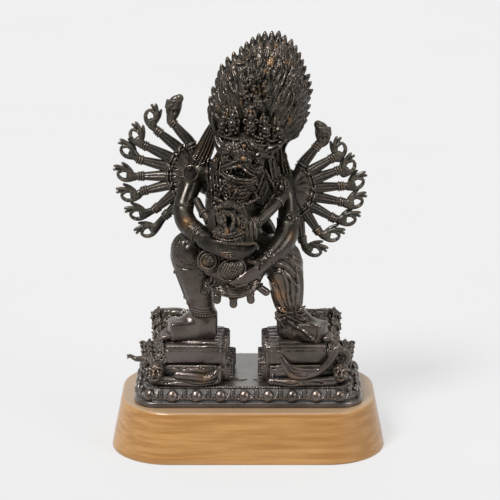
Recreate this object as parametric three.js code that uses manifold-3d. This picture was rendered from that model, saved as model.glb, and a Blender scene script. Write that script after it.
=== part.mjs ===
// A cast bronze group, Vajrabhairava embracing his consort, on a lotus base and a wooden plinth.
// Millimetres, +Z up, +X to the viewer's right, the front faces -Y.
// The origin is the centre of the plinth's underside.
import * as THREE from 'three';
import { mergeVertices } from 'three/addons/utils/BufferGeometryUtils.js';
import Module from 'manifold-3d';

const wasm = await Module();
wasm.setup();

// Driving dimensions. Plan sizes are half sizes: [half width, half depth].
const gap = 0.4;
const plinth = { height: 51, foot: [138, 82], top: [127.5, 71.5], footCorner: 60, topCorner: 54, edge: 2.5 };
const lotus = { height: 20, foot: [114.5, 58], top: [103, 50], corner: 25, petalsWide: 9, petalsDeep: 4 };
const heap = {
  tierHeight: 20.5, bodies: 6, front: -45, backInner: 16, backOuter: 41, bulge: 4, ripple: 2.2,
  rearRise: 9, riseFrom: 0.6,
};
const hair = { tips: 35, tipLength: 9.5, tipRadius: 3.9, flatness: 0.7, low: 318, high: 408 };
const crown = { skulls: 5, skullRadius: 5.5 };
const fan = { arms: 8, armRadius: 4.2, wristRadius: 2.8, palm: 4.8, finger: 21, thumb: 14 };
const apron = { tabs: 5, tabRadius: 3.8, tabLength: 11 };

const lotusFloor = plinth.height + 0.3;
const plateTop = lotusFloor + lotus.height;
const heapFloor = plateTop + 0.3;
const soleHeight = heapFloor + 2 * heap.tierHeight + 0.3;

// Turns a closed three.js geometry into a solid that can be joined and cut.
function toSolid(geometry) {
  geometry.deleteAttribute('normal');
  geometry.deleteAttribute('uv');
  const merged = mergeVertices(geometry, 1e-4);
  return new wasm.Manifold(new wasm.Mesh({
    numProp: 3,
    vertProperties: merged.attributes.position.array,
    triVerts: new Uint32Array(merged.index.array),
  }));
}

function join(solids) {
  return solids.reduce((whole, solid) => whole.add(solid));
}

// Keeps the main body of a cut solid and drops loose crumbs.
function largest(solid) {
  return solid.decompose().sort((a, b) => b.volume() - a.volume())[0];
}

// Bends a closed cylinder: place(column, row) gives each ring point, and centre(row) the two cap centres.
function bentCylinder(columns, rows, place, centre) {
  const geometry = new THREE.CylinderGeometry(1, 1, rows, columns, rows);
  const position = geometry.attributes.position;
  for (let i = 0; i < position.count; i++) {
    const row = Math.round(position.getY(i) + rows / 2);
    const x = position.getX(i);
    const z = position.getZ(i);
    const turn = Math.atan2(x, z) / (2 * Math.PI) + 1;
    const column = Math.round(turn * columns) % columns;
    const point = x * x + z * z < 0.25 ? centre(row) : place(column, row);
    position.setXYZ(i, point.x, point.y, point.z);
  }
  return geometry;
}

// A limb: a closed tube of oval sections along a smooth curve through its joints.
// A joint is [x, y, z, radius across, radius along the flat direction].
function limb(joints, { sides = 7, steps = 4, flat = [0, 1, 0], grow = 0 } = {}) {
  const curve = new THREE.CatmullRomCurve3(joints.map(([x, y, z]) => new THREE.Vector3(x, y, z)));
  const spans = joints.length - 1;
  const flatDirection = new THREE.Vector3(...flat);
  const section = (row) => {
    const t = row / steps;
    const span = Math.min(Math.floor(t * spans), spans - 1);
    const part = t * spans - span;
    const radius = (k) => joints[span][k] * (1 - part) + joints[span + 1][k] * part + grow;
    const tangent = curve.getTangent(t);
    const across = new THREE.Vector3().crossVectors(tangent, flatDirection).normalize();
    const along = new THREE.Vector3().crossVectors(across, tangent).normalize();
    const point = curve.getPoint(t);
    if (row === 0) point.addScaledVector(tangent, -grow);
    if (row === steps) point.addScaledVector(tangent, grow);
    return { point, across, along, wide: radius(3), thick: radius(4) };
  };
  const sections = Array.from({ length: steps + 1 }, (_, row) => section(row));
  const place = (column, row) => {
    const { point, across, along, wide, thick } = sections[row];
    const angle = -(2 * Math.PI * column) / sides;
    return point.clone()
      .addScaledVector(across, Math.cos(angle) * wide)
      .addScaledVector(along, Math.sin(angle) * thick);
  };
  return toSolid(bentCylinder(sides, steps, place, (row) => sections[row].point));
}

// A limb of round section: each joint is [x, y, z, radius].
function roundLimb(joints, options) {
  return limb(joints.map(([x, y, z, r]) => [x, y, z, r, r]), options);
}

function ball([x, y, z], [rx, ry, rz], { sides = 8, rows = 5, tilt = 0, grow = 0 } = {}) {
  const geometry = new THREE.SphereGeometry(1, sides, rows);
  geometry.rotateX(Math.PI / 2);
  geometry.scale(rx + grow, ry + grow, rz + grow);
  geometry.rotateY(tilt);
  geometry.translate(x, y, z);
  return toSolid(geometry);
}

function spike(from, to, radius, { sides = 4, grow = 0 } = {}) {
  const start = new THREE.Vector3(...from);
  const way = new THREE.Vector3(...to).sub(start);
  const geometry = new THREE.ConeGeometry(radius + grow, way.length() + grow, sides);
  geometry.translate(0, (way.length() + grow) / 2, 0);
  const turn = new THREE.Quaternion().setFromUnitVectors(new THREE.Vector3(0, 1, 0), way.normalize());
  geometry.applyQuaternion(turn);
  geometry.translate(start.x, start.y, start.z);
  return toSolid(geometry);
}

// A point on a rounded rectangle, by its share of the way round, with its outward normal.
function roundedRectangle([halfWidth, halfDepth], corner, share) {
  const straightX = 2 * (halfWidth - corner);
  const straightY = 2 * (halfDepth - corner);
  const arc = (Math.PI / 2) * corner;
  const sides = [straightX, straightY, straightX, straightY];
  const starts = [
    [-straightX / 2, -halfDepth], [halfWidth, -straightY / 2],
    [straightX / 2, halfDepth], [-halfWidth, straightY / 2],
  ];
  let left = (share % 1) * 2 * (straightX + straightY + 2 * arc);
  for (let side = 0; side < 4; side++) {
    const heading = (side * Math.PI) / 2;
    const run = new THREE.Vector2(Math.cos(heading), Math.sin(heading));
    const start = new THREE.Vector2(...starts[side]);
    if (left <= sides[side]) {
      return { point: start.addScaledVector(run, left), normal: new THREE.Vector2(run.y, -run.x) };
    }
    left -= sides[side];
    if (left <= arc) {
      const turn = heading - Math.PI / 2 + left / corner;
      const normal = new THREE.Vector2(Math.cos(turn), Math.sin(turn));
      const inward = new THREE.Vector2(-corner * run.y, corner * run.x);
      const pivot = start.addScaledVector(run, sides[side]).add(inward);
      return { point: pivot.addScaledVector(normal, corner), normal };
    }
    left -= arc;
  }
  return roundedRectangle([halfWidth, halfDepth], corner, 0);
}

// A stack of rounded rectangles: each layer is { z, plan, corner, swell(share) }.
function layeredBlock(layers, columns) {
  const place = (column, row) => {
    const layer = layers[row];
    const share = column / columns;
    const { point, normal } = roundedRectangle(layer.plan, layer.corner, share);
    point.addScaledVector(normal, layer.swell ? layer.swell(share) : 0);
    return new THREE.Vector3(point.x, point.y, layer.z);
  };
  const centre = (row) => new THREE.Vector3(0, 0, layers[row].z);
  return toSolid(bentCylinder(columns, layers.length - 1, place, centre));
}

function mixPlan(a, b, t) {
  return [a[0] + (b[0] - a[0]) * t, a[1] + (b[1] - a[1]) * t];
}

// The wooden plinth: straight flared sides and a softly rounded top edge.
function makePlinth() {
  const { height, foot, top, footCorner, topCorner, edge } = plinth;
  const layer = (z, inset) => {
    const t = z / height;
    const [halfWidth, halfDepth] = mixPlan(foot, top, t);
    const corner = footCorner + (topCorner - footCorner) * t;
    return { z, plan: [halfWidth - inset, halfDepth - inset], corner: corner - inset };
  };
  const edgeRows = [0, 1, 2].map((k) => {
    const turn = (k * Math.PI) / 4;
    return layer(height - edge * (1 - Math.sin(turn)), edge * (1 - Math.cos(turn)));
  });
  return layeredBlock([layer(0, 0), ...edgeRows], 48);
}

// The lotus base: a rolled foot, a waist, a row of petals all round, and a rim below the flat plate.
function makeLotusBase() {
  const { height, foot, top, corner } = lotus;
  const petals = 2 * (lotus.petalsWide + lotus.petalsDeep);
  const swell = (depth) => (share) => depth * (Math.abs(Math.cos(Math.PI * share * petals)) - 0.55);
  const rows = [
    { rise: 0, inward: 0 }, { rise: 0.22, inward: 0 }, { rise: 0.28, inward: 0.3 },
    { rise: 0.36, inward: 0.2, petal: 1.5 }, { rise: 0.62, inward: 0.42, petal: 2.4 },
    { rise: 0.8, inward: 0.85, petal: 1 }, { rise: 0.84, inward: 0.9 }, { rise: 1, inward: 1 },
  ];
  const layers = rows.map(({ rise, inward, petal = 0 }) => ({
    z: lotusFloor + height * rise,
    plan: mixPlan(foot, top, inward),
    corner: corner - 6 * inward,
    swell: swell(petal),
  }));
  return layeredBlock(layers, petals * 2);
}

// A heap of trampled beings: two tiers of bodies side by side, feet inward and heads outward.
// The heap is one block whose top is rippled by the backs, with a head at the outer end of each body.
function makeHeap({ side, inner, outer, lowerReach }) {
  const { tierHeight, bodies, front, backInner, backOuter, bulge, ripple, rearRise, riseFrom } = heap;
  const waist = heapFloor + tierHeight;
  const top = waist + tierHeight;
  const across = (share, t) => front + (backInner + (backOuter - backInner) * share - front) * t;
  const along = (share, t, z) => {
    const end = outer + 8 * t + (z < waist ? lowerReach : 0);
    return side * ((inner + 6 * t) * (1 - share) + end * share);
  };
  const half = tierHeight / 2;
  const flank = [
    [0, heapFloor], [bulge, waist - half], [0, waist - 1], [0, waist + 1], [bulge, waist + half],
  ];
  const steps = 2 * bodies;
  const rise = (t) => (rearRise * Math.max(t - riseFrom, 0)) / (1 - riseFrom);
  const backs = Array.from({ length: steps + 1 }, (_, k) => {
    return [k / steps, (k % 2 ? top : top - ripple) + rise(k / steps)];
  });
  const section = [
    ...flank.map(([out, z]) => ({ t: 0, out: -out, z })),
    ...backs.map(([t, z]) => ({ t, out: 0, z })),
    ...flank.toReversed().map(([out, z]) => ({ t: 1, out, z })),
  ];
  const rows = 3;
  const place = (column, row) => {
    const { t, out, z } = section[side < 0 ? column : section.length - 1 - column];
    return new THREE.Vector3(along(row / rows, t, z), across(row / rows, t) + out, z);
  };
  const centre = (row) => new THREE.Vector3(along(row / rows, 0.5, waist), across(row / rows, 0.5), waist);
  const solids = [toSolid(bentCylinder(section.length, rows, place, centre))];
  for (let tier = 0; tier < 2; tier++) {
    const z = heapFloor + tierHeight * (tier + 0.5);
    for (let k = 0; k < bodies; k++) {
      const t = (k + 0.5) / bodies;
      const size = [5, (0.5 * (backOuter - front)) / bodies + 0.6, tierHeight * 0.42];
      solids.push(ball([along(1, t, z), across(1, t), z + tier * rise(t)], size, { sides: 6, rows: 4 }));
    }
  }
  return join(solids);
}

const farAway = 600;

function slab(zLow, zHigh) {
  const geometry = new THREE.BoxGeometry(farAway, farAway, zHigh - zLow);
  geometry.translate(0, 0, (zLow + zHigh) / 2);
  return toSolid(geometry);
}

function trimBelow(solid, z) {
  return solid.subtract(slab(z - farAway, z));
}

function trimAbove(solid, z) {
  return solid.subtract(slab(z, z + farAway));
}

// One leg: thigh forward to the bent knee, shin down to a thick ankle, and the foot turned outward.
function makeLeg({ hip, knee, shin, ankle, heel, toe }, grow) {
  const instep = heel.map((value, k) => (value + toe[k]) / 2);
  instep[2] = soleHeight + 12;
  const column = [[...hip, 24], [...knee, 19.5], [...shin, 16.5], [...ankle, 12.5]];
  const foot = [[...heel, 11, 12], [...instep, 13, 12.5], [...toe, 10, 6]];
  return [
    roundLimb(column, { sides: 9, steps: 9, grow }),
    limb(foot, { sides: 8, steps: 4, flat: [0, 0, 1], grow }),
  ];
}

const legs = [
  {
    hip: [-28, 2, 196], knee: [-57, -28, 206], shin: [-52, -29, 172], ankle: [-43, -17, 128],
    heel: [-32, -14, soleHeight + 10], toe: [-80, -22, soleHeight + 7],
  },
  {
    hip: [10, 2, 194], knee: [33, -28, 197], shin: [38, -30, 166], ankle: [41, -18, 130],
    heel: [31, -12, soleHeight + 10], toe: [78, -29, soleHeight + 7],
  },
];

// The trunk: hips, belly, a broad chest and the neck in one oval tube, and the two shoulders.
function makeTrunk(grow) {
  const trunk = [
    [-10, 6, 178, 20, 16], [-10, 6, 192, 33, 25], [-16, 4, 214, 28, 24], [-15, 2, 236, 28, 24],
    [-7, 1, 258, 36, 24], [-4, 0, 276, 36, 21], [0, -4, 304, 22, 20],
  ];
  return [
    limb(trunk, { sides: 11, steps: 10, grow }),
    ball([-50, 0, 277], [14.5, 15, 14.5], { sides: 9, grow }),
    ball([36, 0, 266], [14.5, 15, 14.5], { sides: 9, grow }),
  ];
}

// A main arm, from shoulder round the elbow to the fingertips.
function makeMainArm(joints, grow) {
  return roundLimb(joints, { sides: 7, steps: 10, grow });
}

const rightArm = [
  [-52, -4, 277, 13], [-61, -11, 258, 10.5], [-64, -19, 245, 10.5], [-60, -30, 235, 10.5],
  [-49, -42, 228, 9.5],
  [-39, -53, 223, 7.5], [-24, -61, 217, 8],
];
const leftArm = [
  [38, -3, 266, 13], [39, -9, 249, 10], [39, -17, 234, 10.5], [37, -28, 221, 11], [29, -40, 210, 9.5],
  [16, -50, 200, 7.5], [3, -58, 193, 7.5], [-12, -63, 184, 4.5],
];

// The curved flaying knife in his right hand, and the heaped skull cup in his left.
function makeHandHeld(grow) {
  return [
    limb([[-38, -62, 219, 6, 4], [-14, -65, 211, 9, 4], [6, -66, 218, 4, 3]], { sides: 6, steps: 4, grow }),
    spike([2, -66, 219], [9, -66, 225], 2.6, { grow }),
    ball([-17, -61, 197], [15, 9, 11], { sides: 10, rows: 6, tilt: -0.45, grow }),
  ];
}

// The buffalo head: skull, muzzle, jaw, ears and the two slim horns.
function makeHead(grow) {
  return [
    ball([-4, -10, 306], [27, 25, 24], { sides: 10, rows: 7, grow }),
    roundLimb([[-5, -22, 304, 17], [-8, -39, 293, 12]], { sides: 8, steps: 2, grow }),
    ball([-9, -32, 282], [13, 10, 7], { grow }),
    ball([-12, -30, 272], [19, 10, 12], { grow }),
    spike([20, -14, 302], [40, -12, 314], 6, { grow }),
    spike([-24, -14, 308], [-36, -12, 318], 5, { grow }),
    roundLimb([[26, -6, 312, 4], [37, -10, 322, 3], [41, -12, 338, 1]], { sides: 5, steps: 4, grow }),
    roundLimb([[-26, -6, 318, 4], [-34, -10, 328, 3], [-37, -12, 343, 1]], { sides: 5, steps: 4, grow }),
  ];
}

// The flaming hair: an egg-shaped mass, leaning a little, with a ring of upswept tips round its outline.
const hairRows = [
  [300, 4, 20], [311, 9, 36], [330, 11.5, 44], [350, 12, 47], [366, 13, 45], [380, 14, 40], [393, 16, 33],
  [404, 20, 22], [411, 23, 12],
];

function hairSection(z) {
  const last = hairRows.length - 2;
  const k = Math.min(Math.max(hairRows.findIndex((row) => row[0] > z) - 1, 0), last);
  const [lowZ, lowX, lowHalf] = hairRows[k];
  const [highZ, highX, highHalf] = hairRows[k + 1];
  const t = Math.min(Math.max((z - lowZ) / (highZ - lowZ), 0), 1);
  return { x: lowX + (highX - lowX) * t, half: lowHalf + (highHalf - lowHalf) * t };
}

function makeHair(grow) {
  const depth = (z, half) => half * hair.flatness * (z > 380 ? 0.9 : 1);
  const columns = 12;
  const place = (column, row) => {
    const [z, x, half] = hairRows[row];
    const angle = (2 * Math.PI * column) / columns;
    const [wide, deep] = [half + grow, depth(z, half) + grow];
    return new THREE.Vector3(x + Math.cos(angle) * wide, 6 + Math.sin(angle) * deep, z);
  };
  const centre = (row) => new THREE.Vector3(hairRows[row][1], 6, hairRows[row][0]);
  const solids = [toSolid(bentCylinder(columns, hairRows.length - 1, place, centre))];
  const perSide = (hair.tips - 1) / 2;
  for (const side of [-1, 1]) {
    for (let k = 0; k < perSide; k++) {
      const share = k / (perSide - 1);
      const z = hair.low + (hair.high - hair.low) * Math.sin((share * Math.PI) / 2);
      const { x, half } = hairSection(z);
      const lean = 0.35 + 0.85 * share;
      const way = [side * Math.cos(lean), Math.sin(lean)];
      const edge = x + side * (half - 3);
      const tip = [edge + way[0] * hair.tipLength, 6, z - 2 + way[1] * hair.tipLength];
      solids.push(spike([edge, 6, z - 2], tip, hair.tipRadius, { grow }));
    }
  }
  solids.push(spike([25, 6, 405], [28, 7, 420 - grow], hair.tipRadius + 1, { grow }));
  for (const face of [-1, 1]) {
    for (let k = 0; k < 5; k++) {
      const share = (k + 0.5) / 5;
      const z = 338 + 54 * Math.sin(Math.PI * share);
      const { x, half } = hairSection(z);
      const across = Math.cos(Math.PI * (1 - share)) * half * 0.6;
      const y = 6 + face * depth(z, half) * 0.78;
      solids.push(spike([x + across, y, z], [x + across * 1.15, y + face * 5, z + 12], 4.5, { grow }));
    }
  }
  return solids;
}

// The crown: a band over the brow and its row of small skulls.
function makeCrown(grow) {
  const band = [[-31, -14, 322, 3, 6], [-3, -34, 322, 3, 4], [31, -14, 316, 3, 6]];
  const solids = [limb(band, { sides: 6, steps: 4, flat: [0, 0, 1], grow })];
  for (let k = 0; k < crown.skulls; k++) {
    const angle = ((k - 2) / 2) * 1.05;
    const x = 2 + 28 * Math.sin(angle);
    const y = -4 - 27 * Math.cos(angle);
    const z = 335 - 3 * (k - 2) * (k > 2 ? 1.5 : 0.4);
    const skull = [[x, y + 1, z - 11, 4, 4], [x, y, z, crown.skullRadius, 6], [x, y + 2, z + 11, 3, 4]];
    solids.push(limb(skull, { sides: 5, steps: 3, grow }));
  }
  return solids;
}

// The hide over his back: a fold hangs from behind the head to each shoulder.
function makeDrape(grow) {
  return [
    limb([[-34, 8, 322, 5, 7], [-43, 8, 302, 9, 6], [-51, 6, 285, 10, 6]], { sides: 7, steps: 4, grow }),
    limb([[31, 8, 306, 5, 7], [33, 8, 287, 7, 6], [37, 6, 266, 8.5, 6]], { sides: 7, steps: 4, grow }),
    limb([[2, 18, 300, 26, 10], [-5, 25, 268, 36, 9], [-14, 24, 238, 27, 9], [-10, 22, 205, 32, 9]], {
      sides: 9, steps: 6, grow,
    }),
  ];
}

// The apron below the hips: a slung cloth with a row of rounded tabs.
function makeApron(grow) {
  const cloth = [[-40, -38, 182, 8, 6], [-13, -44, 172, 12, 6], [14, -36, 182, 8, 6]];
  const solids = [
    limb(cloth, { sides: 7, steps: 5, grow }),
    ball([-12, -28, 184], [26, 22, 15], { sides: 9, grow }),
  ];
  for (let k = 0; k < apron.tabs; k++) {
    const t = k / (apron.tabs - 1);
    const sag = Math.sin(Math.PI * t);
    const x = -42 + 55 * t;
    const y = -42 - 3 * sag;
    const top = 180 - 11 * sag;
    const tab = [[x, y, top, apron.tabRadius], [x, y - 1, top - apron.tabLength, apron.tabRadius]];
    solids.push(roundLimb(tab, { sides: 5, steps: 1, grow }));
  }
  return solids;
}

function makeDeity(grow) {
  const solids = [
    ...legs.flatMap((leg) => makeLeg(leg, grow)),
    ...makeTrunk(grow),
    ...makeHead(grow),
    ...makeHair(grow),
    ...makeCrown(grow),
    ...makeDrape(grow),
    ...makeApron(grow),
    makeMainArm(rightArm, grow),
    makeMainArm(leftArm, grow),
    ...makeHandHeld(grow),
  ];
  return trimBelow(join(solids), soleHeight - grow);
}

// The consort: her head thrown back, a slim body pressed to his chest, arms round his neck, a leg at his hip.
function makeConsort() {
  const crownBand = [[-30, -66, 240, 3, 5], [-16, -71, 238, 4, 4], [-2, -66, 241, 3, 5]];
  const body = [
    [-16, -52, 246, 12, 9], [-16, -50, 222, 14, 9], [-20, -46, 198, 19, 10], [-22, -42, 186, 17, 10],
  ];
  const rightArmUp = [[-26, -52, 236, 6], [-40, -42, 243, 5], [-50, -28, 256, 4.5]];
  const leftArmUp = [[-8, -54, 238, 6], [10, -49, 241, 5], [24, -38, 251, 4.5], [36, -24, 261, 4.5]];
  return join([
    ball([-18, -60, 253], [14, 13, 17], { sides: 9, rows: 7 }),
    limb(crownBand, { sides: 6, steps: 3 }),
    limb(body, { sides: 8, steps: 6 }),
    roundLimb(leftArmUp, { sides: 6, steps: 6 }),
    roundLimb(rightArmUp, { sides: 6, steps: 4 }),
    ball([-39, -50, 204], [11, 8, 11], { sides: 8, rows: 6 }),
    roundLimb([[-36, -46, 206, 9], [-30, -44, 190, 9]], { sides: 7, steps: 1 }),
  ]);
}

// A fan of extra arms: they spring from one root behind the shoulder, each with a bent hand.
const fans = [
  { root: [-46, 14, 270], first: 114.7, last: 229.6, elbow: [37, 31], wrist: [67, 62], back: 6 },
  { root: [46, 14, 260], first: 62, last: -82, elbow: [24, 28], wrist: [51, 56], back: 10 },
];

function makeFan({ root, first, last, elbow, wrist, back }) {
  const [rootX, rootY, rootZ] = root;
  const away = Math.sign(rootX);
  const solids = [ball([rootX - 3 * away, rootY, rootZ], [17, 9, 21], { sides: 9 })];
  for (let k = 0; k < fan.arms; k++) {
    const t = k / (fan.arms - 1);
    const angle = THREE.MathUtils.degToRad(first + (last - first) * t);
    const polar = ([x, y, z], turn, length, deeper = 0) => [
      x + Math.cos(turn) * length, y + deeper, z + Math.sin(turn) * length,
    ];
    const [elbowReach, wristReach] = [elbow, wrist].map(([from, to]) => from + (to - from) * t);
    const elbowAt = polar(root, angle, elbowReach, back / 2);
    const wristAt = polar(root, angle, wristReach, back);
    const lift = angle + away * 0.55 * (0.2 + t);
    const palm = polar(wristAt, lift, fan.palm);
    const arm = [
      [...polar(root, angle, 4), 5.5], [...elbowAt, fan.armRadius], [...wristAt, fan.wristRadius],
      [...palm, fan.palm], [...polar(wristAt, lift, fan.finger), 1.6],
    ];
    const thumb = [[...palm, 2.2], [...polar(wristAt, lift + 0.6 * away, fan.thumb, -1), 1.6]];
    solids.push(roundLimb(arm, { sides: 6, steps: 4 }));
    solids.push(roundLimb(thumb, { sides: 4, steps: 1 }));
  }
  return join(solids);
}

// Surface materials of the castings and the plinth.
function bronze(color, roughness) {
  return new THREE.MeshStandardMaterial({ color, roughness, metalness: 0.85 });
}

function wood(color, roughness) {
  return new THREE.MeshStandardMaterial({ color, roughness, metalness: 0 });
}

function toMesh(name, solid, material) {
  const { numProp, vertProperties, triVerts } = solid.getMesh();
  const geometry = new THREE.BufferGeometry();
  geometry.setAttribute('position', new THREE.BufferAttribute(vertProperties, numProp));
  geometry.setIndex(new THREE.BufferAttribute(triVerts, 1));
  geometry.computeVertexNormals();
  const mesh = new THREE.Mesh(geometry, material);
  mesh.name = name;
  return mesh;
}

const deity = makeDeity(0);
const deityRoom = makeDeity(gap);
const heapRight = makeHeap({ side: -1, inner: 22, outer: 86, lowerReach: 10 });
const heapLeft = makeHeap({ side: 1, inner: 17, outer: 82, lowerReach: 12 });

const statue = new THREE.Group();
statue.add(
  toMesh('wood_plinth', makePlinth(), wood(0xc08a4a, 0.45)),
  toMesh('lotus_base', makeLotusBase(), bronze(0x3a332c, 0.45)),
  toMesh('trampled_beings_right', heapRight, bronze(0x332b24, 0.5)),
  toMesh('trampled_beings_left', heapLeft, bronze(0x332b24, 0.5)),
  toMesh('vajrabhairava', deity, bronze(0x2e2620, 0.4)),
  toMesh('consort', largest(makeConsort().subtract(deityRoom)), bronze(0x3b342b, 0.5)),
  toMesh('arm_fan_right', largest(makeFan(fans[0]).subtract(deityRoom)), bronze(0x3f3930, 0.5)),
  toMesh('arm_fan_left', largest(makeFan(fans[1]).subtract(deityRoom)), bronze(0x3f3930, 0.5)),
);

export default statue;
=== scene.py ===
import math
import random
import time

import bpy
import numpy as np
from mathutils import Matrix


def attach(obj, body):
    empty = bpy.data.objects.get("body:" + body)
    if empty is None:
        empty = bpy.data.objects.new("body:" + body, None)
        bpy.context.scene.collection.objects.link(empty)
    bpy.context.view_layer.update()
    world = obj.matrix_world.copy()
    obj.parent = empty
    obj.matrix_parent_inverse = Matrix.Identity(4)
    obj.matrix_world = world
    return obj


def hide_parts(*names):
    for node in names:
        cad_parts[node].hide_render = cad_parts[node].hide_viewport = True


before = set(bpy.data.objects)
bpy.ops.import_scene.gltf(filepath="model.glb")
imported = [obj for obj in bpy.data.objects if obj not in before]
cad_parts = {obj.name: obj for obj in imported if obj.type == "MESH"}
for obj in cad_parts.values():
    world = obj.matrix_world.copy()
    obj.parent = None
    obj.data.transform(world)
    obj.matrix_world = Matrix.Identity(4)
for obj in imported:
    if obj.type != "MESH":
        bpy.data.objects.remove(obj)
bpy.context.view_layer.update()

import openvdb
from mathutils import Vector

began = time.time()
mm = 0.001
farWax = 9.0  # how far off its surface the wax is measured, mm
shot = {  # mm and degrees
    "target": (1.8, 0, 198), "distance": 2000, "elevation": 16.5, "lens": 144, "sensor": 36,
    "picture": 500,              # width and height of the picture in pixels
    "sight": (1850, 2150, 0.4),  # where a line of sight is felt for the wax: from, to, step
}


def report(stage):
    print(f"{time.time() - began:6.1f} s  {stage}")


def newObject(name, data):
    made = bpy.data.objects.new(name, data)
    bpy.context.scene.collection.objects.link(made)
    return made


# Wax tools. Each casting is first modelled in wax: a block of distances to its surface, in
# millimetres and negative inside, with x to the viewer's right, y to the back and z up.

wax = {}  # the casting at hand: its lowest corner, the size of its cells, and their distances


def newWax(low, high, voxel):
    low = np.array(low, float)
    size = np.ceil((np.array(high, float) - low) / voxel).astype(int) + 1
    wax.update(low=low, voxel=voxel, body=np.full(size, farWax, np.float32))


def cells(first, last):
    # x, y and z of a run of cells
    spans = zip(first, last, wax["low"])
    x, y, z = (np.arange(a, b, dtype=np.float32) * wax["voxel"] + np.float32(c) for a, b, c in spans)
    return x[:, None, None], y[None, :, None], z[None, None, :]


def window(low, high):
    # the cells between two corners: the first, the one past the last, and both as slices
    shape = np.array(wax["body"].shape)
    first = np.clip(np.floor((low - wax["low"]) / wax["voxel"]).astype(int), 0, shape)
    last = np.clip(np.ceil((high - wax["low"]) / wax["voxel"]).astype(int) + 1, first, shape)
    return first, last, tuple(slice(a, b) for a, b in zip(first, last))


def nearby(centre, reach):
    # the cells within reach of a place, and their x, y and z from there
    first, last, where = window(centre - reach, centre + reach)
    x, y, z = cells(first, last)
    return where, x - centre[0], y - centre[1], z - centre[2]


def press(where, shape, blend, cut=False):
    # joins a shape to the wax or cuts it out, with a soft seam as wide as the blend
    old = wax["body"][where]
    if cut:
        near = np.maximum(blend - np.abs(old + shape), 0)
        wax["body"][where] = np.maximum(old, -shape) + near * near / (4 * blend)
    else:
        near = np.maximum(blend - np.abs(old - shape), 0)
        wax["body"][where] = np.minimum(old, shape) - near * near / (4 * blend)


def unit(v):
    v = np.array(v, float)
    return v / max(np.linalg.norm(v), 1e-9)


def axesFor(front, up=(0, 0, 1)):
    # the own right, front and up of a small part that faces front
    f = unit(front)
    r = unit(np.cross(f, up))
    return np.array([r, f, np.cross(r, f)])


def turned(angle):
    # right, back and up after a turn about the upright
    c, s = math.cos(angle), math.sin(angle)
    return np.array([[c, s, 0], [-s, c, 0], [0, 0, 1]])


def placer(at, axes, size=1):
    at = np.array(at, float)
    return lambda right, front, up: at + size * (right * axes[0] + front * axes[1] + up * axes[2])


def runAt(at, rows):
    # points of a strand: each row is what gives the place, and the radius last
    return [(*at(*row[:-1]), row[-1]) for row in rows]


def smoothRun(points, steps):
    # a smooth curve through the points; what each carries after x, y and z runs along
    p = np.array(points, float)
    if len(p) < 3:
        return p
    whole = np.vstack([2 * p[0] - p[1], p, 2 * p[-1] - p[-2]])
    run = []
    for a, b, c, d in zip(whole, whole[1:], whole[2:], whole[3:]):
        for t in np.arange(steps) / steps:
            bend = (2 * a - 5 * b + 4 * c - d) * t ** 2 + (3 * b - a - 3 * c + d) * t ** 3
            run.append(0.5 * (2 * b + (c - a) * t + bend))
    run.append(p[-1])
    return np.array(run)


def ovalGap(q2, thinPart, r, ratio):
    # distance to an oval section, from the squared distance to its axis and the part along its thin way
    thin2 = thinPart * thinPart
    k0 = np.sqrt((q2 + thin2 * (1 / ratio ** 2 - 1)) / (r * r))
    k1 = np.sqrt((q2 + thin2 * (1 / ratio ** 4 - 1)) / r ** 4) + 1e-6
    return k0 * (k0 - 1) / k1


def strand(points, blend=0.4, cut=False, thin=None, ratio=1.0, steps=4):
    # a limb, lock, cord or groove: each point is x, y, z, radius
    path = smoothRun(points, steps)
    margin = max(blend, 1.5) + 0.5
    grow = path[:, 3].max() + margin
    first, last, where = window(path[:, :3].min(0) - grow, path[:, :3].max(0) + grow)
    if (last - first).min() < 1:
        return
    shape = np.full(last - first, farWax, np.float32)
    thinWay = None if thin is None else unit(thin)
    for a, b in zip(path[:-1], path[1:]):
        span = max(a[3], b[3]) + margin
        f, l, _ = window(np.minimum(a[:3], b[:3]) - span, np.maximum(a[:3], b[:3]) + span)
        if (l - f).min() < 1:
            continue
        inner = tuple(slice(p - c, q - c) for p, q, c in zip(f, l, first))
        x, y, z = cells(f, l)
        x, y, z = x - a[0], y - a[1], z - a[2]
        way = b[:3] - a[:3]
        t = np.clip((x * way[0] + y * way[1] + z * way[2]) / max(way @ way, 1e-9), 0, 1)
        x, y, z = x - t * way[0], y - t * way[1], z - t * way[2]
        q2 = x * x + y * y + z * z
        r = a[3] + t * (b[3] - a[3])
        if thinWay is None:
            gap = np.sqrt(q2) - r
        else:
            gap = ovalGap(q2, x * thinWay[0] + y * thinWay[1] + z * thinWay[2], r, ratio)
        np.minimum(shape[inner], gap, out=shape[inner])
    press(where, shape, blend, cut)


def lump(centre, radii, blend=1.5, cut=False, axes=None):
    # a rounded, egg-like mass
    radii = np.array(radii, float)
    axes = np.eye(3) if axes is None else axes
    centre = np.array(centre, float)
    half = np.sqrt(((axes * radii[:, None]) ** 2).sum(0)) + max(blend, 1.5) + 0.5
    where, x, y, z = nearby(centre, half)
    k0 = k1 = 0
    for way, r in zip(axes, radii):
        along = x * way[0] + y * way[1] + z * way[2]
        k0 = k0 + (along / r) ** 2
        k1 = k1 + (along / r ** 2) ** 2
    k0, k1 = np.sqrt(k0), np.sqrt(k1) + 1e-6
    press(where, k0 * (k0 - 1) / k1, blend, cut)


def ball(centre, radius, blend=0.3, cut=False):
    lump(centre, (radius, radius, radius), blend, cut)


def ring(centre, axis, radius, thick, blend=0.3, cut=False):
    # a band round a limb
    centre, axis = np.array(centre, float), unit(axis)
    where, x, y, z = nearby(centre, radius + thick + max(blend, 1.0) + 0.5)
    height = x * axis[0] + y * axis[1] + z * axis[2]
    off = np.sqrt(np.maximum(x * x + y * y + z * z - height * height, 0)) - radius
    press(where, np.sqrt(off * off + height * height) - thick, blend, cut)


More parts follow.
